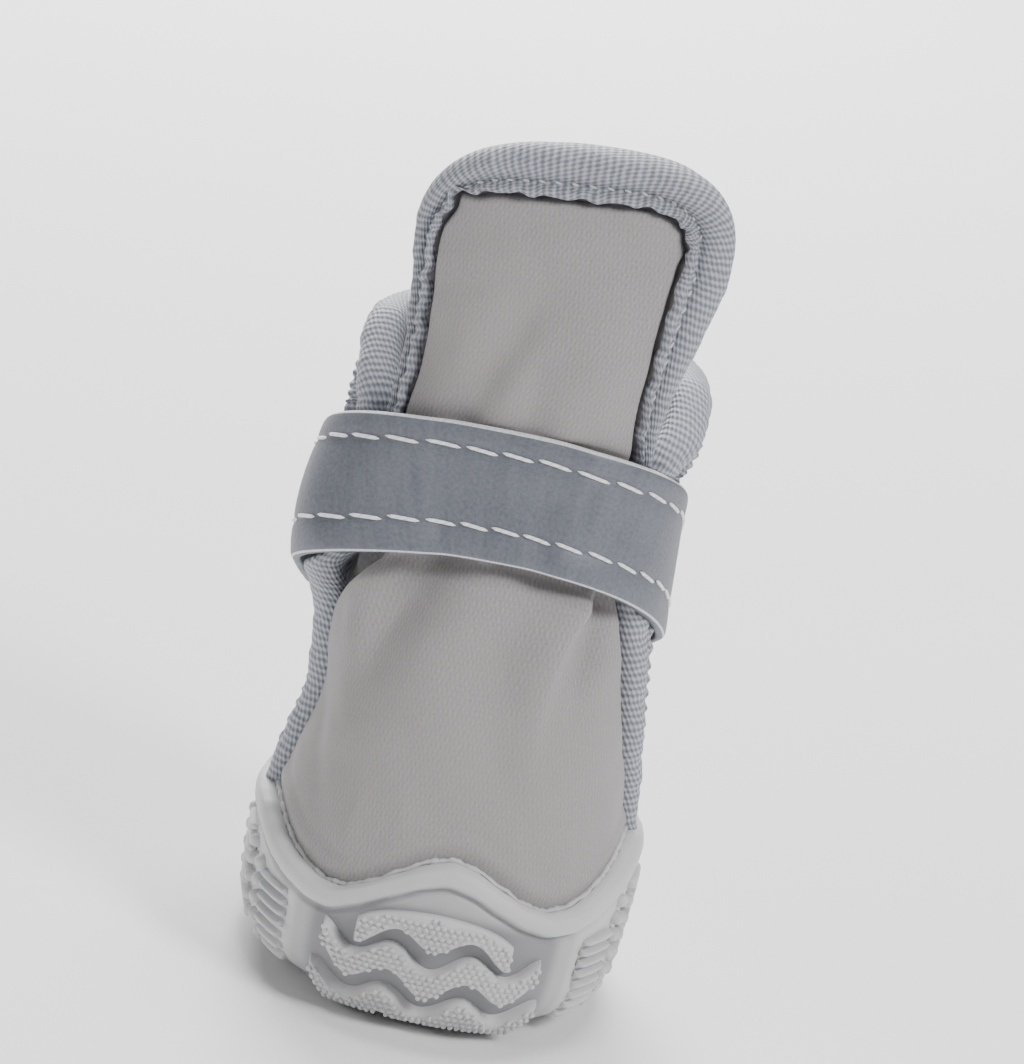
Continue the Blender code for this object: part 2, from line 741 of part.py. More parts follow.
def tread_bar(y):
    """A waved bar across the underside, flat on the ground."""
    reach = min(underside_half_width(y - WAVE_HEIGHT - BAR_WIDTH / 2),
                underside_half_width(y + WAVE_HEIGHT + BAR_WIDTH / 2)) - FEATURE_ROOT
    count = max(4, 2 * ceil(reach / (WAVE_LENGTH / 6)))
    half = BAR_WIDTH / 2
    points = []
    for i in range(count + 1):
        x = reach * (2 * i / count - 1)
        line = y + WAVE_HEIGHT * sin(2 * pi * x / WAVE_LENGTH)
        for back, height in ((-half, LUG_HEIGHT + FEATURE_ROOT), (-0.8 * half, 0.0),
                             (0.8 * half, 0.0), (half, LUG_HEIGHT + FEATURE_ROOT)):
            points.append(np.array((x, line + back, height)))
    return points, tube_faces(count + 1, 4)


def tread_bars():
    """Bars at an even pitch, one through the origin, over the part of the sole that stands flat."""
    ahead = int(SPRING_START / BAR_PITCH)
    behind = int((SOLE_LENGTH / 2 - EDGE_ROUND_WIDTH - BAR_WIDTH) / BAR_PITCH)
    return [tread_bar(step * BAR_PITCH) for step in range(-ahead, behind + 1)]


def make_features(material):
    """Every lug, rib and bar as one guide object, for the union with the cup."""
    toe_lugs = [toe_lug(**dict(zip(TOE_LUG_COLUMNS, row))) for row in TOE_LUGS]
    features = toe_lugs + side_ribs() + tread_bars()
    points = []
    faces = []
    for own_points, own_faces in features:
        faces += [tuple(i + len(points) for i in face) for face in own_faces]
        points += own_points
    guide = new_object("tread_guide", points, faces, material)
    guide.hide_render = True
    guide.display_type = "WIRE"
    return guide


def make_outsole(material):
    cup = make_cup(material)
    guide = make_features(material)
    union = cup.modifiers.new("tread", "BOOLEAN")
    union.operation = "UNION"
    union.object = guide
    return cup


def build():
    for item in list(bpy.data.objects):
        bpy.data.objects.remove(item, do_unlink=True)
    fabric = new_material("soft_shell", FABRIC, 0.9)
    tape = new_material("woven_tape", TAPE_GREY, 0.8)
    webbing = new_material("reflective_webbing", STRAP_GREY, 0.5)
    rubber = new_material("rubber", RUBBER_GREY, 0.6)
    lining = new_material("foam_sock", LINING_GREY, 0.95)
    closure = new_material("hook_and_loop", LINING_GREY, 0.95)
    make_outsole(rubber)
    make_insole(lining)
    make_upper(fabric)
    tape_along("tongue_binding", tongue_edge(), front_place, 1, tape)
    tape_along("quarter_binding", quarter_edge(), back_place, 1, tape)
    make_strap(webbing)
    lift = GAP
    make_patch("loop_patch", LOOP_ARCS, lift, LOOP_THICKNESS, STRAP_WIDTH, closure)
    lift += LOOP_THICKNESS + GAP
    make_patch("hook_patch", HOOK_ARCS, lift, HOOK_THICKNESS, STRAP_WIDTH - 0.002, closure)


build()
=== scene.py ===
import bmesh
import bpy
import numpy as np
from mathutils import Matrix, Vector


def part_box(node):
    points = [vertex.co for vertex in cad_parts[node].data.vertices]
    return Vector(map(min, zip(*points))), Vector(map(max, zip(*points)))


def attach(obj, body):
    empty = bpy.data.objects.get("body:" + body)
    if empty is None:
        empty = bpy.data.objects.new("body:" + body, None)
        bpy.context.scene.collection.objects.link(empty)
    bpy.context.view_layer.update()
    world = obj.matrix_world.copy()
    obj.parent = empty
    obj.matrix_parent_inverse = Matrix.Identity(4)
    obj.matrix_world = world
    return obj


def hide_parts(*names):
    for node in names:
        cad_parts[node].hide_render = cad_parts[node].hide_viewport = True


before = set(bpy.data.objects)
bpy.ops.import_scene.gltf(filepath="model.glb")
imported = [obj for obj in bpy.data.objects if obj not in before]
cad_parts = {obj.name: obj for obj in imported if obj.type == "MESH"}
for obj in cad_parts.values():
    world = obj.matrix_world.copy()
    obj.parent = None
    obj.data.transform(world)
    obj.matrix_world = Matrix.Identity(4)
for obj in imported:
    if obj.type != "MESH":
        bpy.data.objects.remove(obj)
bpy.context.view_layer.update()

# A small dog boot: soft-shell vamp and quarter with taped edges, a coated ankle strap and a rubber cup sole.
# Metres, +Z up, toe towards -Y, the strap's free end on the -X side.
# Everything lies on one form, the last: a place is an arc from the front centre, a height and a lift off it.

mm = 0.001


# The last

last = {
    "height": 0.0995,
    "soleLength": 0.0525,
    "soleWidth": 0.0450,
    "cupWall": 0.0017,
    "gap": 0.0003,
    "widest": 0.48,          # where a level section is widest, from its front to its back
    "turnDegrees": 6.0,      # the shaft's front is turned towards -X
    "lean": 0.0010,          # and the shaft leans the same way
    "walkPoints": 1441,      # points at which half a level section is measured
    "tableRows": 260,
    "tableSteps": 240,       # steps of half a level section
}
halfWidth = last["soleWidth"] / 2 - last["cupWall"] - last["gap"]
halfLength = last["soleLength"] / 2 - last["cupWall"] - last["gap"]

# height as a share, half width, front and back as shares, squareness, turn and lean as shares
lastRows = (
    (0.03, 0.935, 0.965, 0.955, 2.25, 0.00, 0.00),
    (0.10, 0.965, 1.000, 0.990, 2.25, 0.00, 0.00),
    (0.18, 0.975, 0.985, 0.985, 2.25, 0.00, 0.00),
    (0.28, 0.925, 0.900, 0.965, 2.30, 0.15, 0.20),
    (0.40, 0.890, 0.775, 0.950, 2.30, 0.45, 0.90),
    (0.52, 0.885, 0.670, 0.960, 2.30, 0.75, 1.80),
    (0.62, 0.885, 0.610, 0.990, 2.30, 0.95, 2.10),
    (0.72, 0.890, 0.565, 1.030, 2.30, 1.00, 1.80),
    (0.80, 0.910, 0.530, 1.070, 2.30, 1.00, 1.40),
    (1.00, 0.930, 0.400, 1.100, 2.30, 1.00, 1.00),
)

# height as a share of the boot's, how much wider than the last the tongue is there, and its shift to +X in mm
tongueWidthRows = (
    (0.52, 1.00, 0.0),
    (0.60, 0.97, 0.0),
    (0.68, 0.96, 0.7),
    (0.76, 1.00, 1.3),
    (0.86, 1.19, 1.3),
    (0.97, 1.48, 0.7),
    (1.00, 1.51, 0.7),
)


def smoothStep(value, low, high):
    # 0 below low, 1 above high, an even S between them
    t = np.clip((value - low) / (high - low), 0, 1)
    return t * t * (3 - 2 * t)


def bump(value, middle, reach):
    # 1 at the middle, falling to 0 at reach on either side
    return smoothStep(reach - np.abs(value - middle), 0, reach)


def throughRows(rows, column, at, level=False):
    # cubic from row to row; the slope at a row is the chord of its neighbours, or zero where level is true
    keys = np.array([row[0] for row in rows], float)
    values = np.array([row[column] for row in rows], float)
    slopes = np.zeros(len(keys))
    if not level:
        slopes[1:-1] = (values[2:] - values[:-2]) / (keys[2:] - keys[:-2])
        slopes[0] = (values[1] - values[0]) / (keys[1] - keys[0])
        slopes[-1] = (values[-1] - values[-2]) / (keys[-1] - keys[-2])
    at = np.clip(at, keys[0], keys[-1])
    i = np.clip(np.searchsorted(keys, at) - 1, 0, len(keys) - 2)
    span = keys[i + 1] - keys[i]
    t = (at - keys[i]) / span
    fall = 2 * t ** 3 - 3 * t ** 2 + 1
    return (fall * values[i] + (t ** 3 - 2 * t ** 2 + t) * span * slopes[i]
            + (1 - fall) * values[i + 1] + (t ** 3 - t ** 2) * span * slopes[i + 1])


def levelTable(widthRows=None):
    # each level section is a superellipse with its own front and back reach, walked by its own length;
    # the table holds x and y at even shares of the way from heel over toe to heel
    heights = np.linspace(0, last["height"], last["tableRows"])
    share = heights / last["height"]
    wider = 1 if widthRows is None else throughRows(widthRows, 1, share)
    wide = (halfWidth * wider * throughRows(lastRows, 1, share))[:, None]
    front = -halfLength * throughRows(lastRows, 2, share)[:, None]
    back = halfLength * throughRows(lastRows, 3, share)[:, None]
    power = 2 / throughRows(lastRows, 4, share)[:, None]
    turn = -np.radians(last["turnDegrees"]) * throughRows(lastRows, 5, share)[:, None]
    lean = -last["lean"] * throughRows(lastRows, 6, share)[:, None]
    if widthRows is not None:
        lean = lean + throughRows(widthRows, 2, share)[:, None] * mm
    middle = front + last["widest"] * (back - front)
    angle = np.linspace(0, np.pi, last["walkPoints"])[None]
    x = wide * np.abs(np.sin(angle)) ** power
    along = np.sign(np.cos(angle)) * np.abs(np.cos(angle)) ** power
    y = np.where(along > 0, along * (front - middle), -along * (back - middle))
    walked = np.concatenate((np.zeros((len(heights), 1)),
                             np.cumsum(np.hypot(np.diff(x), np.diff(y)), axis=1)), axis=1)
    even = np.linspace(0, 1, last["tableSteps"] + 1)
    halfX = np.array([np.interp(even * w[-1], w, row) for w, row in zip(walked, x)])
    halfY = np.array([np.interp(even * w[-1], w, row) for w, row in zip(walked, y)])
    roundX = np.concatenate((-halfX[:, :0:-1], halfX[:, :-1]), axis=1)
    roundY = np.concatenate((halfY[:, :0:-1], halfY[:, :-1]), axis=1)
    grid = np.stack((lean + roundX * np.cos(turn) - roundY * np.sin(turn),
                     middle + roundX * np.sin(turn) + roundY * np.cos(turn)), axis=-1)
    return {"heights": heights, "around": walked[:, -1], "grid": grid}


def fourWeights(t):
    # weights of the four nearest rows for a smooth cubic through the table
    return ((-t + 2 * t ** 2 - t ** 3) / 2, (2 - 5 * t ** 2 + 3 * t ** 3) / 2,
            (t + 4 * t ** 2 - 3 * t ** 3) / 2, (-t ** 2 + t ** 3) / 2)


def onForm(table, arc, height):
    # the form's point at an arc from the front centre, positive towards +X, and a height
    arc, height = np.broadcast_arrays(np.asarray(arc, float), np.asarray(height, float))
    grid = table["grid"]
    rows, columns = grid.shape[:2]
    u = (arc / np.interp(height, table["heights"], table["around"]) + 1) / 2 * columns
    v = np.clip(height / last["height"], 0, 1) * (rows - 1)
    i = np.floor(u).astype(int)
    j = np.clip(np.floor(v).astype(int), 0, rows - 2)
    acrossWeights = fourWeights(u - i)
    upWeights = fourWeights(v - j)
    place = np.zeros(arc.shape + (2,))
    for a in range(4):
        for b in range(4):
            weight = acrossWeights[a] * upWeights[b]
            place += weight[..., None] * grid[np.clip(j + b - 1, 0, rows - 1), (i + a - 1) % columns]
    return np.concatenate((place, height[..., None]), axis=-1)


def outward(surface, first, second, step=0.3 * mm):
    # unit normal of a surface of two parameters, from its slopes both ways
    along = surface(first + step, second) - surface(first - step, second)
    up = surface(first, second + step) - surface(first, second - step)
    normal = np.cross(along, up)
    return normal / np.linalg.norm(normal, axis=-1, keepdims=True)


def raised(table, arc, height, lift):
    # the form's point moved out along its normal
    arc, height, lift = np.broadcast_arrays(arc, height, lift)

    def surface(first, second):
        return onForm(table, first, second)

    return surface(arc, height) + outward(surface, arc, height) * lift[..., None]


form = levelTable()
tongueForm = levelTable(tongueWidthRows)
print("last: tables ready")


def halfRound(height):
    # half of a level section's length, from toe to heel
    return np.interp(height, form["heights"], form["around"])


# Meshes, from whole arrays

def newPiece(name, points, faces, materials, uv=None, faceMaterial=None, sharp=None, paintedShade=None):
    # uv is in millimetres of cloth, shifted so that pieces don't share a stretch of the same weave
    mesh = bpy.data.meshes.new(name)
    mesh.from_pydata(np.asarray(points).reshape(-1, 3).tolist(), [], [list(face) for face in faces])
    for material in materials:
        mesh.materials.append(material)
    if faceMaterial is not None:
        mesh.polygons.foreach_set("material_index", np.asarray(faceMaterial, np.int32))
    if uv is not None:
        corner = np.zeros(len(mesh.loops), np.int32)
        mesh.loops.foreach_get("vertex_index", corner)
        layer = mesh.uv_layers.new(name="clothMm")
        layer.data.foreach_set("uv", np.asarray(uv, np.float32).reshape(-1, 2)[corner].ravel())
    # a point attribute holding how much shade is painted there; the knit and rubber materials darken towards a
    # shade colour by it
    if paintedShade is not None:
        values = mesh.attributes.new("paintedShade", "FLOAT", "POINT")
        values.data.foreach_set("value", np.asarray(paintedShade, np.float32).ravel())
    work = bmesh.new()
    work.from_mesh(mesh)
    bmesh.ops.recalc_face_normals(work, faces=work.faces)
    work.to_mesh(mesh)
    work.free()
    mesh.shade_smooth()
    if sharp is not None:
        mesh.set_sharp_from_angle(angle=np.radians(sharp))
    item = bpy.data.objects.new(name, mesh)
    bpy.context.scene.collection.objects.link(item)
    return item


def gridFaces(rows, columns, wrap=False, start=0):
    # quads between neighbouring rows and columns of a grid of points
    index = start + np.arange(rows * columns).reshape(rows, columns)
    if wrap:
        index = np.concatenate((index, index[:, :1]), axis=1)
    corners = (index[:-1, :-1], index[:-1, 1:], index[1:, 1:], index[1:, :-1])
    return np.stack(corners, axis=-1).reshape(-1, 4).tolist()


def tubeFaces(rows, columns, start=0):
    # rings laid end to end, each end closed by one face
    faces = gridFaces(rows, columns, wrap=True, start=start)
    faces.append(list(range(start, start + columns)))
    faces.append(list(range(start + (rows - 1) * columns, start + rows * columns)))
    return faces


def repeatedFaces(template, count):
    # the faces of one tube of rings (rings, sides, 3), laid down count times
    rings, sides = template.shape[:2]
    one = tubeFaces(rings, sides)
    return [[i + k * rings * sides for i in face] for k in range(count) for face in one]


def shellFaces(rows, columns):
    # an outer grid, an inner grid after it, and the strip that closes the rim between them
    outer = gridFaces(rows, columns)
    inner = gridFaces(rows, columns, start=rows * columns)
    index = np.arange(rows * columns).reshape(rows, columns)
    loop = np.concatenate((index[0, :-1], index[:-1, -1], index[-1, :0:-1], index[:0:-1, 0]))
    after = np.roll(loop, -1)
    rim = np.stack((loop, after, after + rows * columns, loop + rows * columns), axis=-1).tolist()
    return outer, inner, rim


def sideShares(count):
    # shares from -1 to 1, closer together towards both edges
    even = np.linspace(-1, 1, count)
    return 0.45 * even + 0.55 * np.sin(np.pi / 2 * even)


def lumps(along, waves):
    # soft unevenness of sewn cloth: a sum of slow waves, each a length, a depth and a shift
    return sum(depth * np.sin(2 * np.pi * along / length + shift) for length, depth, shift in waves)


# Materials: colours are sRGB, turned to linear light here

def linearColour(code):
    parts = np.array([int(code[i:i + 2], 16) for i in (1, 3, 5)]) / 255
    linear = np.where(parts <= 0.04045, parts / 12.92, ((parts + 0.055) / 1.055) ** 2.4)
    return (*linear.tolist(), 1.0)


def addNode(tree, kind, settings=None, links=None, out=0):
    # one node with its settings and what runs into it, by name or in order; gives back the output asked for
    made = tree.nodes.new("ShaderNode" + kind)
    for name, value in (settings or {}).items():
        setattr(made, name, value)
    for name, value in links.items() if isinstance(links, dict) else enumerate(links or ()):
        if isinstance(value, bpy.types.NodeSocket):
            tree.links.new(value, made.inputs[name])
        else:
            made.inputs[name].default_value = value
    return made.outputs[out]


def newMaterial(name, sockets):
    made = bpy.data.materials.new(name)
    made.use_nodes = True
    shader = made.node_tree.nodes["Principled BSDF"]
    for socket, value in sockets.items():
        shader.inputs[socket].default_value = value
    return made, made.node_tree


def newCloth(name, sockets):
    # a material laid out in the piece's own millimetres
    made, tree = newMaterial(name, sockets)
    return made, tree, addNode(tree, "UVMap", {"uv_map": "clothMm"})


def finished(made, links):
    # the material, with what runs into its shader
    shader = made.node_tree.nodes["Principled BSDF"]
    for socket, value in links.items():
        made.node_tree.links.new(value, shader.inputs[socket])
    return made


def blendColours(tree, share, low, high):
    # each end is a colour's code or another node's colour
    low, high = (linearColour(end) if isinstance(end, str) else end for end in (low, high))
    return addNode(tree, "Mix", {"data_type": "RGBA"}, {0: share, 6: low, 7: high}, out=2)


def spread(tree, value, low, high, toLow=0.0, toHigh=1.0):
    # value from low to high becomes toLow to toHigh, held at both ends
    return addNode(tree, "MapRange", {"clamp": True},
                   {"Value": value, "From Min": low, "From Max": high, "To Min": toLow, "To Max": toHigh})


softShell = {
    "dash": "#8d8889",        # shade between the knit's ribs
    "rib": "#a6a1a2",         # the knit's ribs
    "warm": "#9b9595",        # broad patches that are a little browner
    "seam": "#4b494c",        # painted shade in the crevice beside a hem
    "ribPitch": 0.26,         # mm across the ribs
    "dashLength": 0.95,       # mm along them
    "ribWeight": 0.24,        # how strongly the ribs show in the uneven ground
    "slant": 6.0,             # degrees that the knit leans
    "relief": 0.030 * mm,
    "roughness": 0.82,
    "sheen": 0.15,
}


def checkWave(tree, uv, pitchAcross, pitchAlong):
    # sine across times sine along, in millimetres: a chequer of raised and sunk threads from -1 to 1
    parts = addNode(tree, "SeparateXYZ", None, (uv,)).node.outputs
    waves = []
    for part, pitch in ((parts[0], pitchAcross), (parts[1], pitchAlong)):
        turned = addNode(tree, "Math", {"operation": "MULTIPLY"}, (part, np.pi / pitch))
        waves.append(addNode(tree, "Math", {"operation": "SINE"}, (turned,)))
    return addNode(tree, "Math", {"operation": "MULTIPLY"}, (waves[0], waves[1]))


def softShellKnit():
    # polyester soft shell, a brushed warp knit: matt, warm grey, with fine upright dashes and a faint sheen;
    # painted shade darkens it along the crevice beside the tongue's hem
    made, tree, uv = newCloth("softShellKnit", {
        "Roughness": softShell["roughness"], "Sheen Weight": softShell["sheen"], "Sheen Roughness": 0.45,
        "Specular IOR Level": 0.3})
    turn = (0.0, 0.0, np.radians(softShell["slant"]))
    leaning = addNode(tree, "Mapping", None, {"Vector": uv, "Rotation": turn})
    drift = addNode(tree, "TexNoise", None, {"Vector": uv, "Scale": 0.9, "Detail": 1.0}, out=1)
    moved = addNode(tree, "VectorMath", {"operation": "MULTIPLY_ADD"}, (drift, (0.25, 1.2, 0.0), leaning))
    ribs = checkWave(tree, moved, softShell["ribPitch"], softShell["dashLength"])
    uneven = addNode(tree, "TexNoise", None, {"Vector": uv, "Scale": 3.0, "Detail": 2.0})
    knitted = addNode(tree, "Math", {"operation": "MULTIPLY_ADD"}, (ribs, softShell["ribWeight"], uneven))
    toned = blendColours(tree, spread(tree, knitted, 0.10, 0.90), softShell["dash"], softShell["rib"])
    broad = addNode(tree, "TexNoise", None, {"Vector": uv, "Scale": 0.05, "Detail": 2.0})
    toned = blendColours(tree, spread(tree, broad, 0.35, 0.75, 0.0, 0.5), toned, softShell["warm"])
    # painted shade: the knit is darkened towards the crevice's shade colour by a point attribute, along the
    # crevice beside the hem
    seam = addNode(tree, "Attribute", {"attribute_name": "paintedShade"}, None, out=2)
    toned = blendColours(tree, seam, toned, softShell["seam"])
    fuzz = addNode(tree, "TexNoise", None, {"Vector": uv, "Scale": 6.0, "Detail": 2.0})
    relief = addNode(tree, "Math", {"operation": "MULTIPLY_ADD"}, (fuzz, 0.4, knitted))
    normal = addNode(tree, "Bump", None, {"Height": relief, "Distance": softShell["relief"], "Strength": 0.8})
    return finished(made, {"Base Color": toned, "Normal": normal})


fleece = {"dark": "#6d6b6e", "light": "#9b999c", "tuftScale": 1.6, "relief": 0.35 * mm}


def fleeceBack():
    # polyester fleece bonded behind the knit: soft, tufted, no gloss
    made, tree, uv = newCloth("fleeceBack", {
        "Roughness": 0.95, "Sheen Weight": 0.4, "Sheen Roughness": 0.6, "Specular IOR Level": 0.2})
    tufts = addNode(tree, "TexNoise", None,
                    {"Vector": uv, "Scale": fleece["tuftScale"], "Detail": 6.0, "Roughness": 0.65})
    tone = blendColours(tree, spread(tree, tufts, 0.3, 0.7), fleece["dark"], fleece["light"])
    normal = addNode(tree, "Bump", None, {"Height": tufts, "Distance": fleece["relief"], "Strength": 0.9})
    return finished(made, {"Base Color": tone, "Normal": normal})


tapeCloth = {
    "dark": "#757882",
    "light": "#b5b7bf",
    "rowPitch": 0.85,         # mm along the tape from one crossing thread to the next
    "grainPitch": 0.56,       # mm across it from grain to grain
    "grainWeight": 0.75,      # how much the grains count beside the rows
    "shadeWeight": 2.0,       # and the uneven dyeing
    "relief": 0.05 * mm,
}


def wovenRows(tree, uv, rowPitch, grainPitch):
    # cosine along the tape plus a lesser cosine across it, set over by half a grain from row to row
    parts = addNode(tree, "SeparateXYZ", None, (uv,)).node.outputs
    rows = addNode(tree, "Math", {"operation": "MULTIPLY"}, (parts[0], 2 * np.pi / rowPitch))
    grains = addNode(tree, "Math", {"operation": "MULTIPLY"}, (parts[1], 2 * np.pi / grainPitch))
    grains = addNode(tree, "Math", {"operation": "MULTIPLY_ADD"}, (rows, 0.5, grains))
    rows, grains = (addNode(tree, "Math", {"operation": "COSINE"}, (wave,)) for wave in (rows, grains))
    return addNode(tree, "Math", {"operation": "MULTIPLY_ADD"}, (grains, tapeCloth["grainWeight"], rows))


def oxfordTape():
    # nylon oxford binding, a coarse plain weave: pale threads crossing dark ones, seen as rows of light dots
    made, tree, uv = newCloth("oxfordTape", {
        "Roughness": 0.62, "Sheen Weight": 0.1, "Specular IOR Level": 0.45})
    drift = addNode(tree, "TexNoise", None, {"Vector": uv, "Scale": 0.6, "Detail": 2.0}, out=1)
    moved = addNode(tree, "VectorMath", {"operation": "MULTIPLY_ADD"}, (drift, (0.45, 0.30, 0.0), uv))
    weave = wovenRows(tree, moved, tapeCloth["rowPitch"], tapeCloth["grainPitch"])
    shade = addNode(tree, "TexNoise", None, {"Vector": uv, "Scale": 1.7, "Detail": 3.0})
    lit = addNode(tree, "Math", {"operation": "MULTIPLY_ADD"}, (shade, tapeCloth["shadeWeight"], weave))
    tone = blendColours(tree, spread(tree, lit, 0.00, 2.30), tapeCloth["dark"], tapeCloth["light"])
    normal = addNode(tree, "Bump", None, {"Height": weave, "Distance": tapeCloth["relief"], "Strength": 0.9})
    return finished(made, {"Base Color": tone, "Normal": normal})


coating = {
    "dark": "#545760",
    "light": "#7d8089",
    "streakWeight": 0.35,     # how much the drawn streaks count
    "grainWeight": 0.9,       # and the fine grain
    "relief": 0.02 * mm,
}


def coatedWebbing():
    # glass-bead reflective tape coated on cloth: smooth slate face, satin, with a very fine grain
    made, tree, uv = newCloth("coatedWebbing", {"Specular IOR Level": 0.4, "Metallic": 0.12})
    grain = addNode(tree, "TexNoise", None, {"Vector": uv, "Scale": 2.4, "Detail": 5.0, "Roughness": 0.7})
    drawn = addNode(tree, "Mapping", None, {"Vector": uv, "Scale": (1.1, 0.12, 1.0)})
    streaks = addNode(tree, "TexNoise", None, {"Vector": drawn, "Scale": 1.0, "Detail": 4.0})
    broad = addNode(tree, "TexNoise", None, {"Vector": uv, "Scale": 0.16, "Detail": 2.0})
    calm = spread(tree, broad, 0.2, 0.8, 0.42, 0.58)
    mixed = addNode(tree, "Math", {"operation": "MULTIPLY_ADD"}, (streaks, coating["streakWeight"], calm))
    cloudy = addNode(tree, "Math", {"operation": "MULTIPLY_ADD"}, (grain, coating["grainWeight"], mixed))
    tone = blendColours(tree, spread(tree, cloudy, 0.80, 1.45), coating["dark"], coating["light"])
    normal = addNode(tree, "Bump", None, {"Height": grain, "Distance": coating["relief"], "Strength": 0.6})
    dull = spread(tree, streaks, 0.3, 0.7, 0.46, 0.6)
    return finished(made, {"Base Color": tone, "Roughness": dull, "Normal": normal})


def plainCloth(name, low, high, scale, relief, roughness=0.9, sheen=0.1):
    # a matt cloth or felt: two near tones and a soft tooth, in the piece's own millimetres
    made, tree, uv = newCloth(name, {
        "Roughness": roughness, "Sheen Weight": sheen, "Specular IOR Level": 0.25})
    tooth = addNode(tree, "TexNoise", None, {"Vector": uv, "Scale": scale, "Detail": 4.0, "Roughness": 0.6})
    tone = blendColours(tree, spread(tree, tooth, 0.3, 0.7), low, high)
    normal = addNode(tree, "Bump", None, {"Height": tooth, "Distance": relief, "Strength": 0.8})
    return finished(made, {"Base Color": tone, "Normal": normal})


def sewingThread(name, low, high):
    # twisted polyester thread: pale, with slanting plies that catch the light
    made, tree, uv = newCloth(name, {"Roughness": 0.5, "Sheen Weight": 0.2, "Specular IOR Level": 0.5})
    plies = addNode(tree, "TexWave", {"wave_type": "BANDS", "bands_direction": "DIAGONAL"},
                    {"Vector": uv, "Scale": 0.62, "Distortion": 0.4})
    normal = addNode(tree, "Bump", None, {"Height": plies, "Distance": 0.1 * mm, "Strength": 0.7})
    return finished(made, {"Base Color": blendColours(tree, plies, low, high), "Normal": normal})


# the darkest tone is painted shade, laid on the toe's face and more on the sunk panel between its lugs
rubberTones = {"dark": "#bdbdbf", "light": "#c9c9cb", "paintedShade": "#8a8a8d", "relief": 0.02 * mm}


def mouldedRubber():
    # moulded thermoplastic rubber: pale grey, satin, with a faint flow mottle and a fine spark-eroded grain,
    # and painted shade darkening the toe's face and the sunk panel between the lugs
    made, tree = newMaterial("mouldedRubber", {"IOR": 1.5, "Specular IOR Level": 0.35})
    place = addNode(tree, "TexCoord", None, None, out=3)
    mottle = addNode(tree, "TexNoise", None, {"Vector": place, "Scale": 95.0, "Detail": 4.0})
    grain = addNode(tree, "TexNoise", None, {"Vector": place, "Scale": 2600.0, "Detail": 2.0})
    tone = blendColours(tree, spread(tree, mottle, 0.3, 0.7), rubberTones["dark"], rubberTones["light"])
    # painted shade, darkening the toe's face and more the sunk panel between the lugs
    paintedShade = addNode(tree, "Attribute", {"attribute_name": "paintedShade"}, None, out=2)
    tone = blendColours(tree, paintedShade, tone, rubberTones["paintedShade"])
    relief = rubberTones["relief"]
    normal = addNode(tree, "Bump", None, {"Height": grain, "Distance": relief, "Strength": 0.5})
    dull = spread(tree, mottle, 0.3, 0.7, 0.52, 0.64)
    return finished(made, {"Base Color": tone, "Roughness": dull, "Normal": normal})


knit = softShellKnit()
lining = fleeceBack()
tape = oxfordTape()
webbing = coatedWebbing()
webbingEdge = plainCloth("webbingCutEdge", "#bdbec4", "#e4e4e9", 3.0, 0.05 * mm)
strapThread = sewingThread("strapThread", "#ececf0", "#ffffff")
hemThread = sewingThread("hemThread", "#b2b3b9", "#dcdde2")
rubber = mouldedRubber()
foamSock = plainCloth("foamSock", "#747275", "#8c8a8d", 2.4, 0.12 * mm)
loopPile = plainCloth("loopPile", "#55575d", "#7d7f86", 2.2, 0.4 * mm, sheen=0.4)
hookTape = plainCloth("hookTape", "#5c5e64", "#8b8d94", 3.2, 0.3 * mm, roughness=0.6)
print("materials: ready")


# Lines of the two panels; left is the -X side and right the +X side, as the photo shows them

panels = {
    "bottom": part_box("upper")[0].z,
    "wall": 2.2 * mm,
    "innerLift": 0.3 * mm,       # the folds show no deeper than this inside
    "tape": 0.6 * mm,
    "tongueRise": 12.0 * mm,
    "quarterHeight": 73.4 * mm,
    "quarterCorner": 8.0 * mm,
    "quarterRecede": 5.0 * mm,
    "quarterRecedes": 0.65,      # from this share of the boot's height up
    "slitHalf": 1.1 * mm,
    "slitOpens": 2.5 * mm,
    "slitBelowRim": 3.4 * mm,
    "tapeBelowRim": 0.6 * mm,
    "tapeFoot": 57.0 * mm,       # below this, under the strap, the vamp's edge is bare
    "bareBlend": 3.0 * mm,       # the change starts this far below it
    "boundFrom": 1.0 * mm,       # and ends this far above it
    "bareAbove": (-1.0 * mm, 2.0 * mm),   # from the cup's rim, where the bare edge starts to be rounded
    "bareClearance": 0.1 * mm,   # between the vamp's bare edge and the quarter's tape
    "tongueLift": 0.2 * mm,      # how much higher the tongue's arch is in the middle
    "tongueTilt": 1.7 * mm,      # and at its right corner, and lower at the left one
    "archPowers": (2.9, 2.4),    # squareness of the arch on the right and on the left
    # arc and height of the tongue's two mitred corners, and how far the window reaches into them
    "hemCorners": ((16.2 * mm, 91.0 * mm, 0.45 * mm), (-15.2 * mm, 93.0 * mm, 1.15 * mm)),
}

# how much at the most, at which height, and how far up and down it fades
swells = {
    "leftSpread": (1.1 * mm, 77.5 * mm, 15 * mm),    # the tongue's edge further out
    "rightSpread": (1.0 * mm, 63 * mm, 12 * mm),
    "leftAdvance": (3.6 * mm, 54 * mm, 13 * mm),     # the quarter's edge further forward, below the strap
    "leftBulge": (3.0 * mm, 47.5 * mm, 8 * mm),      # the slack tape bulges below the strap
    "rightBulge": (1.3 * mm, 68 * mm, 7 * mm),       # and above it
    "leftSlim": (1.0 * mm, 31 * mm, 10 * mm),        # the cloth closer to the foot
    "leftHem": (0.55 * mm, 65 * mm, 7 * mm),         # the quarter's hem prouder
}

# how much at the most, and the heights between which it grows
grows = {
    "leftGap": (7.8 * mm, 40 * mm, 53 * mm),         # the vamp's edge set back below the strap
    "rightGap": (1.9 * mm, 24 * mm, 34 * mm),
    "rightAdvance": (1.6 * mm, 24 * mm, 34 * mm),
}
rightAdvanceEnds = (50 * mm, 58 * mm)
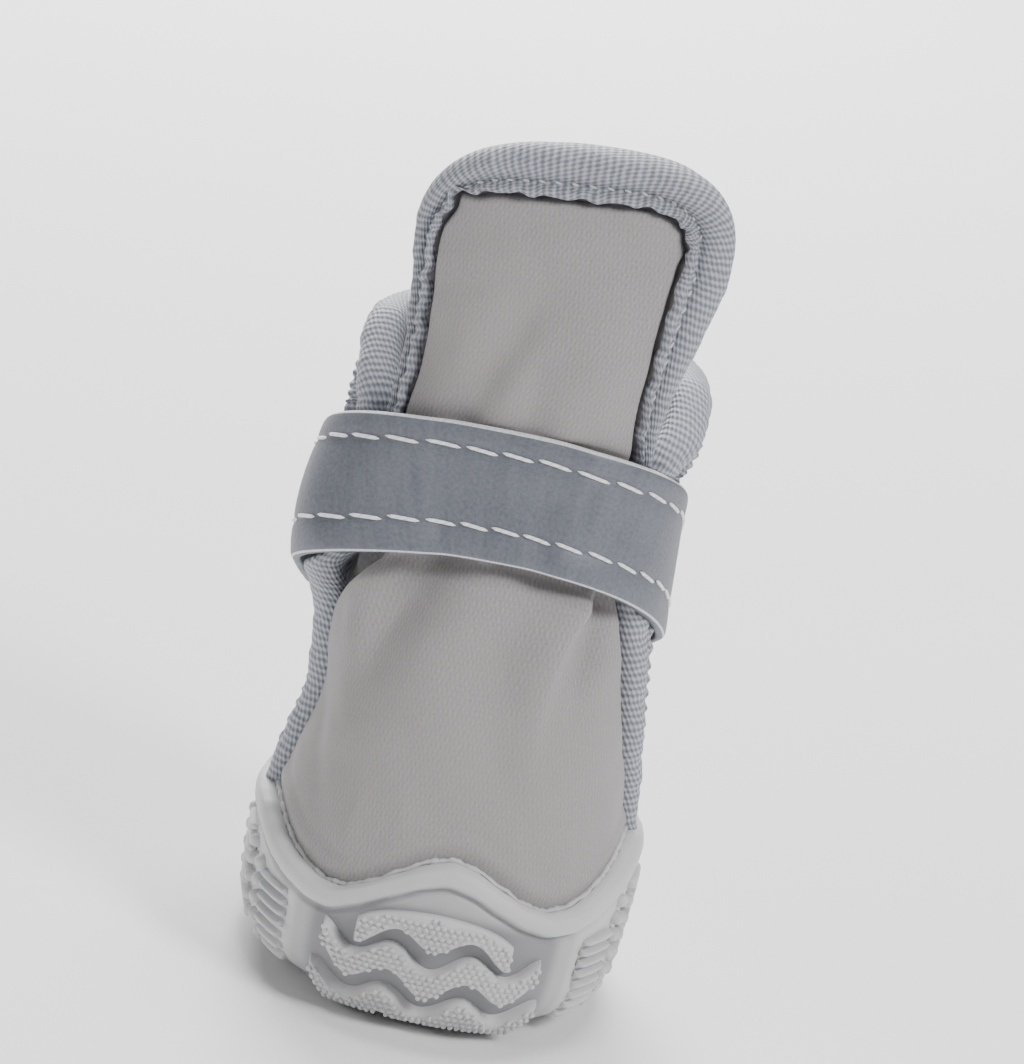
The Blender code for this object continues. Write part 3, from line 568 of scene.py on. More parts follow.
# arcs between which a bulge or the slim side comes and goes, the bulges counted back from the front centre
bulgeArcs = {"left": (38 * mm, 22 * mm), "right": (40 * mm, 24 * mm)}
slimArcs = (14 * mm, 22 * mm, 36 * mm, 48 * mm)
bulgePast = (-2.6 * mm, 0.8 * mm)    # the bulges fade beneath the strap between these distances past its edge

tapeTop = last["gap"] + panels["tape"]
tongueTopHeight = last["height"] - tapeTop
tongueCorner = tongueTopHeight - panels["tongueRise"]
quarterTopHeight = panels["quarterHeight"] - tapeTop

# height as a share of the boot's; arcs from the front centre to the tongue's and to the quarter's line,
# as shares of the last's half width
seamRows = (
    (0.04, 1.60, 1.60),
    (0.18, 1.54, 1.54),
    (0.28, 1.37, 1.37),
    (0.37, 1.19, 1.19),
    (0.45, 1.05, 1.05),
    (0.52, 0.96, 0.96),
    (0.60, 0.85, 0.88),
    (0.68, 0.80, 0.84),
    (0.76, 0.81, 0.84),
    (0.88, 0.90, 0.89),
)

# place as a share of the way from toe to heel, and the rim's height as a share of its height at the toe
rimRows = ((0.000, 1.000), (0.180, 0.740), (0.420, 0.955), (0.620, 0.890), (0.820, 0.830), (1.000, 1.000))
rimTop = 20.8 * mm
rimTilt = 1.7 * mm           # the rim stands this much higher on the right and lower on the left


def rimHeight(share):
    # share runs from -1 at the heel over the left side to the toe and on to 1
    return rimTop * throughRows(rimRows, 1, np.abs(share), level=True) + rimTilt * np.sin(np.pi * share)


def seamArc(height, column=2):
    return halfWidth * throughRows(seamRows, column, height / last["height"])


# the rim's height where it crosses the seam on the right, 1, and on the left, -1
seamRims = {way: float(rimHeight(way * seamArc(rimTop) / halfRound(rimTop))) for way in (1, -1)}
slitFoot = seamRims[-1] - panels["slitBelowRim"]


def slitOpen(height):
    return smoothStep(height, slitFoot, slitFoot + panels["slitOpens"])


def swell(name, height):
    most, middle, reach = swells[name]
    return most * bump(height, middle, reach)


def grow(name, height):
    most, low, high = grows[name]
    return most * smoothStep(height, low, high)


def tapedEdge(height, side):
    # arc from the front centre to the tongue's edge inside its tape, spread a little on both sides
    return seamArc(height, 1) - panels["slitHalf"] + swell("leftSpread", height) * (side < 0) \
        + swell("rightSpread", height) * (side > 0)


def vampReach(height, side):
    # arc from the front centre to the vamp's own edge: bare below the strap, inside its tape above
    foot = panels["tapeFoot"]
    bound = smoothStep(height, foot - panels["bareBlend"], foot + panels["boundFrom"])
    bare = seamArc(height) - panels["bareClearance"] * slitOpen(height)
    stand = grow("leftGap", height) * (side < 0) + grow("rightGap", height) * (side > 0)
    return (bare - stand) * (1 - bound) + tapedEdge(height, side) * bound


def quarterReach(height, side):
    # arc from the heel's centre to the quarter's own edge; side is positive towards -X
    start = panels["quarterRecedes"] * last["height"]
    lean = panels["quarterRecede"] * smoothStep(height, start, quarterTopHeight)
    advance = swell("leftAdvance", height) * (side > 0) \
        + grow("rightAdvance", height) * (1 - smoothStep(height, *rightAdvanceEnds)) * (side < 0)
    return halfRound(height) - seamArc(height) - panels["slitHalf"] * slitOpen(height) - lean + advance


def tongueTilt(share):
    return panels["tongueLift"] + panels["tongueTilt"] * share


def archPower(side):
    return np.where(side > 0, *panels["archPowers"])


def tongueTop(share):
    # an arch between the tongue's two corners, squarer and higher on the right
    arch = np.clip(1 - np.abs(share) ** archPower(share), 0, 1) ** (1 / archPower(share))
    return tongueCorner + panels["tongueRise"] * arch + tongueTilt(share)


def quarterTop(share):
    # level, with a round corner at each end
    corner = panels["quarterCorner"]
    inward = quarterReach(quarterTopHeight - corner, 0) * (1 - np.abs(share))
    return quarterTopHeight - corner + np.sqrt(corner ** 2 - np.clip(corner - inward, 0, None) ** 2)


def leftSlim(arc, height):
    # the cloth lies closer to the foot low down on the left
    start, full, fades, end = slimArcs
    return swell("leftSlim", height) * smoothStep(-arc, start, full) * (1 - smoothStep(-arc, fades, end))


def frontSelf(arc, height):
    return arc


def frontPlace(arc, height, lift):
    return raised(tongueForm, arc, height, lift - leftSlim(arc, height))


def quarterFront(pastHeel, height):
    # an arc past the heel's centre as an arc from the front centre
    return np.where(pastHeel <= 0, halfRound(height) + pastHeel, pastHeel - halfRound(height))


def backPlace(pastHeel, height, lift):
    # by the arc past the heel's centre, negative on the right; the slack left edge bulges below the strap
    # and the right one above it
    half = halfRound(height)
    slack = 0.0
    for way, name in ((1, "left"), (-1, "right")):
        start, full = bulgeArcs[name]
        slack = slack + swell(name + "Bulge", height) * smoothStep(way * pastHeel, half - start, half - full)
    arc = quarterFront(pastHeel, height)
    slack = slack * smoothStep(pastStrap(arc, height), *bulgePast)
    return raised(form, half + pastHeel, height, lift + slack - leftSlim(arc, height))


# The strap's line

strap = {
    "upperHalf": 6.8 * mm,       # from the middle line to the upper and to the lower edge
    "lowerHalf": 7.8 * mm,
    "height": 61.2 * mm,
    "slope": 0.55,
    "sewnEnd": -52.0 * mm,       # own arcs from the front centre, positive towards the free end
    "freeEnd": 60.0 * mm,
    "step": 0.45 * mm,
    "lineReach": 75,             # mm to either side over which its line is worked out
    "linePoints": 601,
    "lineRepeats": 14,
    "standOff": 0.75 * mm,       # how far the lower edge stands off the vamp at the front
    "frontFade": (12 * mm, 24 * mm),
    "leftSlack": 3.8 * mm,       # and off the quarter where it turns round the left side
    "slackArcs": (21 * mm, 17 * mm),
    "slackAcross": (-14 * mm, 8 * mm),
    "waves": ((21 * mm, 0.06 * mm, 0.9), (11 * mm, 0.03 * mm, 2.0)),
    "endFade": 3 * mm,           # past its ends the cloth is free
    "endRoom": 6 * mm,
    "softness": 0.3 * mm,        # how softly the cloth gives way beside it
    "clothLift": 0.05 * mm,      # the most that the cloth and the tape stand up beneath it
    "tapeLift": 0.85 * mm,
    "clothSlope": 1.2,           # and how fast they rise beside it
    "tapeSlope": 2.6,
    "stitchRow": 4.15 * mm,      # from the middle line
    "stitchPitch": 3.65 * mm,
    "stitchLength": 3.15 * mm,
    "stitchWidth": 0.40 * mm,
    "stitchHeight": 0.44 * mm,
    "stitchSlant": 0.11,
    "stitchLift": 1.16 * mm,
    "stitchMargins": (3 * mm, 7 * mm),
    # the stitches wander a little: how much, and the turn from one to the next
    "unevenAlong": (0.12 * mm, 5.3),
    "unevenAcross": (0.06 * mm, 2.1),
}
strapArcs = np.linspace(-strap["lineReach"], strap["lineReach"], strap["linePoints"]) * mm
strapHeights = np.full(strapArcs.shape, strap["height"])
for repeat in range(strap["lineRepeats"]):
    fall = onForm(form, strapArcs, strapHeights)[:, 1] - onForm(form, 0.0, strap["height"])[1]
    strapHeights = strap["height"] - strap["slope"] * fall
strapRises = np.gradient(strapHeights, strapArcs)

# own arc as a share of the half width, and the strap's lift off the form there
flatLift, tapeLift, closureLift = 0.4 * mm, 1.3 * mm, 2.7 * mm
strapLiftRows = (
    (-2.60, flatLift), (-1.86, flatLift), (-1.64, tapeLift), (-0.42, tapeLift), (-0.24, flatLift),
    (0.24, flatLift), (0.42, tapeLift), (1.30, tapeLift), (1.80, closureLift), (3.20, closureLift),
)


def strapPlace(ownArc, across, lift):
    # along the strap's line, across it and off the form
    arc = -ownArc
    rise = np.interp(arc, strapArcs, strapRises)
    turn = np.sqrt(1 + rise ** 2)
    height = np.interp(arc, strapArcs, strapHeights) + across / turn
    return raised(form, arc - rise / turn * across, height, lift)


def besideStrap(arc, height):
    # distance from the strap's middle line, measured square to it
    rise = np.interp(arc, strapArcs, strapRises)
    return (height - np.interp(arc, strapArcs, strapHeights)) / np.sqrt(1 + rise ** 2)


def pastStrap(arc, height):
    # distance past the strap's nearer edge, negative beneath it
    beside = besideStrap(arc, height)
    return np.maximum(beside - strap["upperHalf"], -beside - strap["lowerHalf"])


def belowStrap(arc, height, lift, least, slope):
    # lift held down to least beneath the strap, and allowed to rise with its distance past the strap's edge;
    # the lesser of the two is taken softly
    soft = strap["softness"]
    along = smoothStep(-arc, strap["sewnEnd"] - strap["endFade"], strap["sewnEnd"]) \
        * (1 - smoothStep(-arc, strap["freeEnd"], strap["freeEnd"] + strap["endFade"]))
    most = least + slope * np.maximum(pastStrap(arc, height) + soft, 0) + strap["endRoom"] * (1 - along)
    return (lift + most - np.sqrt((lift - most) ** 2 + soft ** 2)) / 2


def underStrap(arc, height):
    # 1 beneath the strap, 0 clear of it
    return (pastStrap(arc, height) < 0) & (-arc > strap["sewnEnd"]) & (-arc < strap["freeEnd"])


# Folds, placed from the top down: points (arc, height), lift, width on its left and on its right,
# all in millimetres, and the shares of the length over which it dies away at the top and at the foot

vampFolds = (
    (((-4.5, 55), (-6.0, 51.5), (-9.5, 46), (-12.5, 39), (-14.5, 31)), -2.40, 1.9, 3.2, 0.02, 0.60),
    (((-12.0, 55), (-13.8, 49), (-16.0, 42), (-18.0, 34)), 0.75, 1.8, 2.4, 0.05, 0.5),
    (((14.0, 55), (12.2, 50.5), (9.2, 46), (7.6, 40), (7.2, 34), (7.8, 27)), 1.75, 3.6, 1.25, 0.02, 0.6),
    (((16.0, 54), (13.8, 48), (12.2, 41), (13.2, 32)), -1.60, 1.8, 2.2, 0.02, 0.60),
    (((1.5, 50), (3.0, 42), (4.0, 33), (3.0, 24)), -0.80, 3.4, 3.6, 0.30, 0.35),
    (((3.0, 54), (-2.0, 46), (-5.0, 38), (-5.5, 28)), 0.60, 4.5, 4.5, 0.10, 0.45),
    (((-2.0, 86), (-3.0, 80), (-5.5, 72), (-6.5, 63)), -1.15, 3.0, 2.4, 0.45, 0.02),
    (((-0.5, 80), (0.6, 74), (1.8, 66)), -0.65, 2.0, 3.0, 0.55, 0.02),
    (((8.0, 88), (6.0, 78), (7.0, 65)), 0.45, 4.5, 4.5, 0.35, 0.05),
    (((-11.0, 27.0), (-11.8, 22.5), (-12.4, 18.0)), 0.20, 0.9, 1.2, 0.5, 0.05),
    (((-6.0, 28.0), (-6.3, 24.0), (-6.8, 20.0)), 0.16, 0.8, 1.1, 0.5, 0.05),
    (((6.4, 27.0), (6.9, 23.5), (7.8, 20.0)), 0.18, 1.0, 0.8, 0.5, 0.05),
    (((13.0, 27.0), (13.8, 22.5), (14.6, 18.0)), 0.20, 1.2, 0.9, 0.5, 0.05),
)
quarterFolds = (
    (((-36, 50), (-27, 42), (-17, 37), (-6, 35)), -0.75, 3.0, 2.4, 0.10, 0.50),
    (((-33, 42), (-24, 34), (-14, 30), (-5, 29)), 0.50, 3.0, 3.0, 0.20, 0.50),
    (((37, 49), (28, 41), (18, 37), (8, 36)), -0.70, 2.4, 3.0, 0.10, 0.50),
    (((34, 40), (25, 34), (14, 31)), 0.50, 3.0, 3.0, 0.20, 0.50),
    (((-12, 52), (-3, 47), (9, 46), (18, 49)), -0.45, 2.6, 2.6, 0.30, 0.30),
    (((-20, 74), (-18, 67), (-20, 60)), -0.55, 2.6, 3.4, 0.30, 0.10),
    (((12, 75), (14, 68), (13, 60)), -0.50, 3.2, 2.6, 0.30, 0.10),
    (((-4, 77), (-3, 69), (-5, 61)), 0.45, 4.0, 4.0, 0.30, 0.20),
)


def foldLift(arc, height, folds):
    # a fold's section is a bell about its line, with its own width on either side
    total = np.zeros(arc.shape)
    for points, lift, minusWidth, plusWidth, topFade, footFade in folds:
        rows = [(i, *point) for i, point in enumerate(points)]
        walk = np.linspace(0, len(points) - 1, 6 * len(points))
        line = np.stack((throughRows(rows, 1, walk), throughRows(rows, 2, walk)), axis=1) * mm
        nearest = np.full(arc.shape, 1.0)
        width = np.ones(arc.shape)
        along = np.zeros(arc.shape)
        for i, (start, end) in enumerate(zip(line[:-1], line[1:])):
            heading = (end - start) / np.linalg.norm(end - start)
            run = (arc - start[0]) * heading[0] + (height - start[1]) * heading[1]
            held = np.clip(run, 0, np.linalg.norm(end - start))
            off = np.hypot(arc - start[0] - held * heading[0], height - start[1] - held * heading[1])
            plusSide = heading[0] * (height - start[1]) - heading[1] * (arc - start[0]) > 0
            closer = off < nearest
            nearest = np.where(closer, off, nearest)
            width = np.where(closer, np.where(plusSide, plusWidth, minusWidth) * mm, width)
            along = np.where(closer, (i + held / np.linalg.norm(end - start)) / (len(line) - 1), along)
        fade = smoothStep(along, -0.001, topFade) * (1 - smoothStep(along, 1 - footFade, 1.001))
        total += lift * mm * fade * np.exp(-(nearest / width) ** 2)
    return total


# Edges of the panels and the tape folded over them: a puffed roll, a stitched groove and a puckered hem

binding = {
    "station": 0.33 * mm,
    "sectionPoints": 58,
    "hemPitch": 2.0 * mm,
    "stitchLength": 0.85 * mm,
    "stitchWidth": 0.32 * mm,
    "stitchHeight": 0.34 * mm,
    "stitchSlant": -0.15,
    "stitchLift": 0.06 * mm,
    "endMargin": 1.2 * mm,       # without stitches, at the ends and beside a mitred corner
    "grooveReach": 3.75 * mm,
    "hemWaves": ((4.1 * mm, 0.16 * mm, 0.0), (2.6 * mm, 0.07 * mm, 1.0)),
    "rollWaves": ((7.3 * mm, 0.10 * mm, 0.3), (3.9 * mm, 0.06 * mm, 1.2), (2.0 * mm, 0.05 * mm, 0.0)),
    "puckerDepth": 0.20 * mm,
    "puckerDrift": 11 * mm,      # the puckers crowd and thin out over this length
    "tonguePuff": 0.25 * mm,
    "quarterPuff": 0.12 * mm,
    "quarterWide": 0.96,
    "cornerWidth": 1.5 * mm,
    "cornerRise": (0.30, 1.1, 0.6),   # mm high, off the corner and wide
    "cornerDip": (0.75, 0.45),        # mm deep and wide
    # keys of sectionRows between which the hem ends, the hem's face starts, and the roll's middle and reach
    "hemKeys": (2.9, 3.7),
    "faceKeys": (0.8, 2.0),
    "rollKeys": (7, 3.2),
    "smoothing": 6,                   # stations to either side over which an edge's direction is evened
}

# walk along the section; reach in from the panel's edge and lift off its outer face, in millimetres
sectionRows = (
    (0, 4.65, -1.10), (1, 5.50, 0.30), (2, 5.40, 1.08), (3, 4.70, 1.34), (4, 3.80, 0.42),
    (5, 3.20, 0.90), (6, 2.10, 1.42), (7, 1.00, 1.48), (8, 0.00, 1.18), (9, -0.68, 0.42),
    (10, -0.95, -0.80), (11, -0.78, -2.00), (12, -0.05, -2.85), (13, 1.00, -3.20), (14, 2.40, -3.12),
    (15, 3.60, -2.75), (16, 4.50, -2.92), (17, 5.05, -2.70), (18, 5.05, -1.80),
)
grooveKey = 4


def evenPath(path, step):
    # the same line with points an even step apart
    walked = np.concatenate(([0], np.cumsum(np.linalg.norm(np.diff(path, axis=0), axis=1))))
    at = np.linspace(0, walked[-1], int(np.ceil(walked[-1] / step)) + 1)
    return at, np.stack((np.interp(at, walked, path[:, 0]), np.interp(at, walked, path[:, 1])), axis=1)


def edgeLine(path):
    # distance walked, the points, and the direction square to the line, into the panel
    along, spots = evenPath(path, binding["station"])
    heading = np.gradient(spots, axis=0)
    reach = binding["smoothing"]
    kernel = np.hanning(2 * reach + 1)
    kernel = kernel / kernel.sum()
    padded = np.pad(heading, ((reach, reach), (0, 0)), mode="edge")
    heading = np.stack([np.convolve(padded[:, i], kernel, mode="valid") for i in range(2)], axis=1)
    heading /= np.linalg.norm(heading, axis=1)[:, None]
    return {"along": along, "spots": spots, "into": np.stack((-heading[:, 1], heading[:, 0]), axis=1)}


def onEdge(line, place, along, reach, lift):
    along, reach, lift = np.broadcast_arrays(along, reach, lift)
    spot = [np.interp(along, line["along"], line["spots"][:, i]) for i in range(2)]
    into = [np.interp(along, line["along"], line["into"][:, i]) for i in range(2)]
    return place(spot[0] + into[0] * reach, spot[1] + into[1] * reach, lift)


def tongueLine():
    # up the right side from under the strap, over the arch and down the left side
    turn = np.linspace(0, np.pi, 500)
    side = np.cos(turn)
    share = np.sign(side) * np.abs(side) ** (2 / archPower(side))
    arch = np.abs(np.sin(turn)) ** (2 / archPower(side))
    archHeight = tongueCorner + panels["tongueRise"] * arch + tongueTilt(share)
    right, left = (np.linspace(panels["tapeFoot"], tongueCorner + tongueTilt(way), 60, endpoint=False)
                   for way in (1, -1))
    return np.concatenate((np.stack((tapedEdge(right, 1), right), axis=1),
                           np.stack((vampReach(archHeight, side) * share, archHeight), axis=1),
                           np.stack((-tapedEdge(left, -1), left), axis=1)[::-1]))


def quarterLine():
    # up the left side from the rim, round behind the heel and down the right side
    corner = quarterTopHeight - panels["quarterCorner"]
    turn = np.linspace(0, np.pi / 2, 80, endpoint=False)
    flat = 1 - panels["quarterCorner"] / quarterReach(corner, 0)
    share = np.concatenate((1 - (1 - flat) * (1 - np.cos(turn)), np.linspace(flat, 0, 120)))
    top = np.stack((quarterReach(quarterTop(share), 0) * share, quarterTop(share)), axis=1)
    halves = []
    for way in (1, -1):
        side = np.linspace(seamRims[-way] - panels["tapeBelowRim"], corner, 90, endpoint=False)
        halves.append(np.concatenate((np.stack((quarterReach(side, way), side), axis=1), top)))
    return np.concatenate((halves[0], (halves[1] * (-1, 1))[-2::-1]))


# share of the way round the tongue's edge, from its foot on the right, and the tape's width as a share
tongueWideRows = (
    (0.00, 0.26), (0.08, 0.28), (0.15, 0.50), (0.22, 0.78), (0.28, 0.92), (0.36, 0.86), (0.43, 0.80),
    (0.50, 0.88), (0.57, 0.86), (0.64, 0.62), (0.72, 0.42), (0.79, 0.32), (0.85, 0.26), (1.00, 0.26),
)
tongueEdge = edgeLine(tongueLine())
quarterEdge = edgeLine(quarterLine())
archShare = smoothStep(tongueEdge["spots"][:, 1], tongueCorner - 6 * mm, tongueCorner + 6 * mm)
tongueWide = throughRows(tongueWideRows, 1, tongueEdge["along"] / tongueEdge["along"][-1])
tonguePuff = binding["tonguePuff"] * archShare
quarterWide = np.full(quarterEdge["along"].shape, binding["quarterWide"])
quarterPuff = np.full(quarterEdge["along"].shape, binding["quarterPuff"])
quarterHem = swell("leftHem", quarterEdge["spots"][:, 1]) * (quarterEdge["spots"][:, 0] > 0)


def nearestSpot(line, arc, height):
    # distance along an edge to its point nearest to an arc and a height
    spots = line["spots"]
    return float(line["along"][np.argmin(np.hypot(spots[:, 0] - arc, spots[:, 1] - height))])


cornerSpots = [(nearestSpot(tongueEdge, arc, height), cut) for arc, height, cut in panels["hemCorners"]]


def cornerCut(along, corners):
    # how much less the hem reaches in at the mitred corners
    return sum(cut * np.exp(-((along - corner) / binding["cornerWidth"]) ** 2) for corner, cut in corners)


def hemDistance(line, wide, corners, arc, height):
    # how far a place on the panel is from the line along which the hem ends
    reach = sectionRows[1][1] * mm * wide + upper["seamIn"] - cornerCut(line["along"], corners)
    seam = line["spots"] + line["into"] * reach[:, None]
    nearest = [np.min(np.hypot(a[:, None] - seam[None, :, 0], h[:, None] - seam[None, :, 1]), axis=1)
               for a, h in zip(arc, height)]
    return np.stack(nearest)


# Upper: vamp with tongue, and quarter, each a padded wall with the knit outside and fleece within

upper = {
    "vampColumns": 150,
    "vampRows": 280,
    "quarterColumns": 240,
    "quarterRows": 150,
    "crown": 0.45 * mm,
    "rimBulge": 0.45 * mm,
    "edgeRound": 1.1 * mm,
    "seamDip": 1.1 * mm,         # depth of the crevice under the tongue's hem
    "seamDipWidth": 0.38 * mm,
    "seamIn": 0.12 * mm,         # from the hem's edge to the crevice
    "strapPress": 1.25 * mm,     # how deep the cloth is drawn in along the strap's lower edge
    "pressPast": (0.3 * mm, 2.6 * mm),
    "pressHalf": 19 * mm,
    "pressFade": 6 * mm,
    "rimFade": 4.5 * mm,         # above the rim the folds come in over this height
    "rimBulgeAt": (1.9 * mm, 2.1 * mm),
    "waves": ((17.0 * mm, 0.07 * mm, 0.4), (9.1 * mm, 0.05 * mm, 1.9), (5.3 * mm, 0.025 * mm, 3.1)),
}


def clothLift(arc, height, share, rimShare, folds):
    # crown, folds and slow waves, all held down where the cup grips the cloth, and a bulge above its rim
    lift = upper["crown"] * (1 - share ** 4) + foldLift(arc, height, folds)
    lift += lumps(arc + 0.6 * height, upper["waves"]) + lumps(height - 0.4 * arc, upper["waves"])
    above = height - rimHeight(rimShare)
    bulge = upper["rimBulge"] * bump(above, *upper["rimBulgeAt"])
    return lift * smoothStep(above, 0, upper["rimFade"]) + bulge


def strapPress(fromFront, height):
    # 1 along the strap's lower edge at the front, 0 away from it
    pressed = bump(pastStrap(fromFront, height), *upper["pressPast"]) * (besideStrap(fromFront, height) < 0)
    return pressed * smoothStep(upper["pressHalf"] - np.abs(fromFront), 0, upper["pressFade"])


def bareRound(share, height, inward):
    # how far the vamp's bare edge is rounded down, between the rim and the foot of its tape
    bare = 1 - smoothStep(height, panels["tapeFoot"] - panels["bareBlend"], panels["tapeFoot"])
    rim = np.where(share > 0, seamRims[1], seamRims[-1])
    low, high = panels["bareAbove"]
    bare *= smoothStep(height, rim + low, rim + high)
    near = np.clip(1 - inward / upper["edgeRound"], 0, 1)
    return bare * upper["edgeRound"] * (1 - np.sqrt(1 - near ** 2))


def panelPiece(name, place, reach, top, columns, rows, folds, frontArc, isVamp):
    share = sideShares(columns)[None, :] * np.ones((rows, 1))
    up = np.linspace(0, 1, rows)[:, None]
    height = panels["bottom"] + (top(share) - panels["bottom"]) * up
    arc = share * reach(height, share)
    fromFront = frontArc(arc, height)
    lift = clothLift(arc, height, share, fromFront / halfRound(height), folds)
    lift = belowStrap(fromFront, height, lift - upper["strapPress"] * strapPress(fromFront, height),
                      strap["clothLift"], strap["clothSlope"])
    shade = np.zeros(arc.shape)
    # along the crevice under the tongue's hem the cloth dips, and the same bell sets where shade is painted
    # into the knit
    if isVamp:
        shade = hemDistance(tongueEdge, tongueWide, cornerSpots, arc, height) / upper["seamDipWidth"]
        shade = np.exp(-shade ** 2)
        lift = lift - upper["seamDip"] * shade
        lift = lift - bareRound(share, height, (1 - np.abs(share)) * reach(height, share))
    outer = place(arc, height, lift)
    inner = place(arc, height, np.minimum(lift, panels["innerLift"]) - panels["wall"])
    outerFaces, innerFaces, rim = shellFaces(rows, columns)
    uv = np.stack((arc / mm + 200, height / mm), axis=-1)
    piece = newPiece(name, np.stack((outer, inner)), outerFaces + innerFaces + rim, (knit, lining),
                     uv=np.stack((uv, uv)), paintedShade=np.stack((shade, 0 * shade)),
                     faceMaterial=[0] * len(outerFaces) + [1] * len(innerFaces) + [0] * len(rim))
    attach(piece, "root")
    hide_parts("upper")
    return piece


panelPiece("vamp_and_tongue", frontPlace, vampReach, tongueTop, upper["vampColumns"], upper["vampRows"],
           vampFolds, frontSelf, True)
panelPiece("quarter", backPlace, quarterReach, quarterTop, upper["quarterColumns"], upper["quarterRows"],
           quarterFolds, quarterFront, False)
print("upper: vamp and quarter ready")


# Binding: the tape itself, its section carried along the edge

def bindingShape(line, key, wide, puff, corners, hemRise):
    # reach and lift of the section's points at every station, in metres
    along = line["along"][:, None]
    reach = throughRows(sectionRows, 1, key)[None, :] * mm * np.ones(along.shape)
    lift = throughRows(sectionRows, 2, key)[None, :] * mm * np.ones(along.shape)
    hem = 1 - smoothStep(key, *binding["hemKeys"])[None, :]
    hemFace = hem * smoothStep(key, *binding["faceKeys"])[None, :]
    roll = bump(key, *binding["rollKeys"])[None, :]
    reach = reach * np.where(reach > 0, wide[:, None], 1)
    reach += hem * (lumps(along, binding["hemWaves"]) - cornerCut(along, corners))
    crowding = 1.3 * np.sin(2 * np.pi * along / binding["puckerDrift"])
    pucker = np.sin(2 * np.pi * along / binding["hemPitch"] + crowding)
    lift += hemFace * (binding["puckerDepth"] * pucker + hemRise[:, None])
    lift += roll * (puff[:, None] + lumps(along, binding["rollWaves"]))
    rise, off, riseWidth = binding["cornerRise"]
    dip, dipWidth = binding["cornerDip"]
    for corner, cut in corners:
        past = np.abs(along - corner) / mm
        bulge = rise * np.exp(-((past - off) / riseWidth) ** 2) - dip * np.exp(-(past / dipWidth) ** 2)
        lift += hem * bulge * mm
    return reach, lift


def bindingPiece(name, node, line, place, frontArc, wide, puff, corners, hemRise):
    key = np.linspace(0, sectionRows[-1][0], binding["sectionPoints"])
    reach, lift = bindingShape(line, key, wide, puff, corners, hemRise)
    spot = line["spots"][:, None, :] + line["into"][:, None, :] * reach[..., None]
    lift = belowStrap(frontArc(spot[..., 0], spot[..., 1]), spot[..., 1], lift,
                      strap["tapeLift"], strap["tapeSlope"])
    points = onEdge(line, place, line["along"][:, None], reach, lift)
    flat = np.stack([throughRows(sectionRows, column, key) for column in (1, 2)])
    across = np.cumsum(np.hypot(*np.gradient(flat, axis=1)))[None] * np.ones(reach.shape)
    uv = np.stack((np.broadcast_to(line["along"][:, None] / mm, reach.shape), across), axis=-1) + 20
    piece = newPiece(name, points, tubeFaces(*reach.shape), (tape,), uv=uv)
    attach(piece, "root")
    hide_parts(node)
    return piece


def capsule(length, width, height, slant, sides=8, rings=9):
    # a stitch: a flattened round bar with drawn-in ends, lying along the first direction
    t = np.linspace(-1, 1, rings)[:, None]
    turn = np.linspace(0, 2 * np.pi, sides, endpoint=False)[None]
    full = (1 - 0.80 * np.abs(t) ** 9) * np.ones(turn.shape)
    along = t * length / 2 * np.ones(turn.shape)
    across = full * np.cos(turn) * width / 2 + slant * along
    return np.stack((along, across, full * np.sin(turn) * height / 2), axis=-1)


def stitches(name, thread, sizes, place, first, second, lift):
    # the same stitch at every place, laid on the surface that it is sewn to, as one mesh
    template = capsule(*[sizes["stitch" + size] for size in ("Length", "Width", "Height", "Slant")])
    shape = template.reshape(-1, 3)
    points = place(first[:, None] + shape[:, 0], second[:, None] + shape[:, 1], lift[:, None] + shape[:, 2])
    uv = np.broadcast_to((shape[:, :2] / mm + 20)[None], (len(first), len(shape), 2))
    piece = newPiece(name, points, repeatedFaces(template, len(first)), (thread,), uv=uv)
    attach(piece, "root")
    return piece


def hemStitches(name, line, place, frontArc, wide, corners=()):
    margin = binding["endMargin"]
    along = np.arange(margin, line["along"][-1] - margin, binding["hemPitch"])
    for corner, cut in corners:
        along = along[np.abs(along - corner) > margin]
    reach = binding["grooveReach"] * np.interp(along, line["along"], wide)
    spot = [np.interp(along, line["along"], line["spots"][:, i])
            + np.interp(along, line["along"], line["into"][:, i]) * reach for i in range(2)]
    free = ~underStrap(frontArc(*spot), spot[1])
    lift = np.full(along.shape, throughRows(sectionRows, 2, grooveKey)) * mm + binding["stitchLift"]
    return stitches(name, hemThread, binding, lambda a, b, c: onEdge(line, place, a, b, c),
                    along[free], reach[free], lift[free])


bindingPiece("tongue_tape", "tongue_binding", tongueEdge, frontPlace, frontSelf,
             tongueWide, tonguePuff, cornerSpots, 0 * tonguePuff)
bindingPiece("quarter_tape", "quarter_binding", quarterEdge, backPlace, quarterFront,
             quarterWide, quarterPuff, (), quarterHem)
hemStitches("tongue_hem_stitches", tongueEdge, frontPlace, frontSelf, tongueWide, cornerSpots)
hemStitches("quarter_hem_stitches", quarterEdge, backPlace, quarterFront, quarterWide)
print("bindings: ready")


# Strap: a coated band with a pale cut edge and two rows of saddle stitches

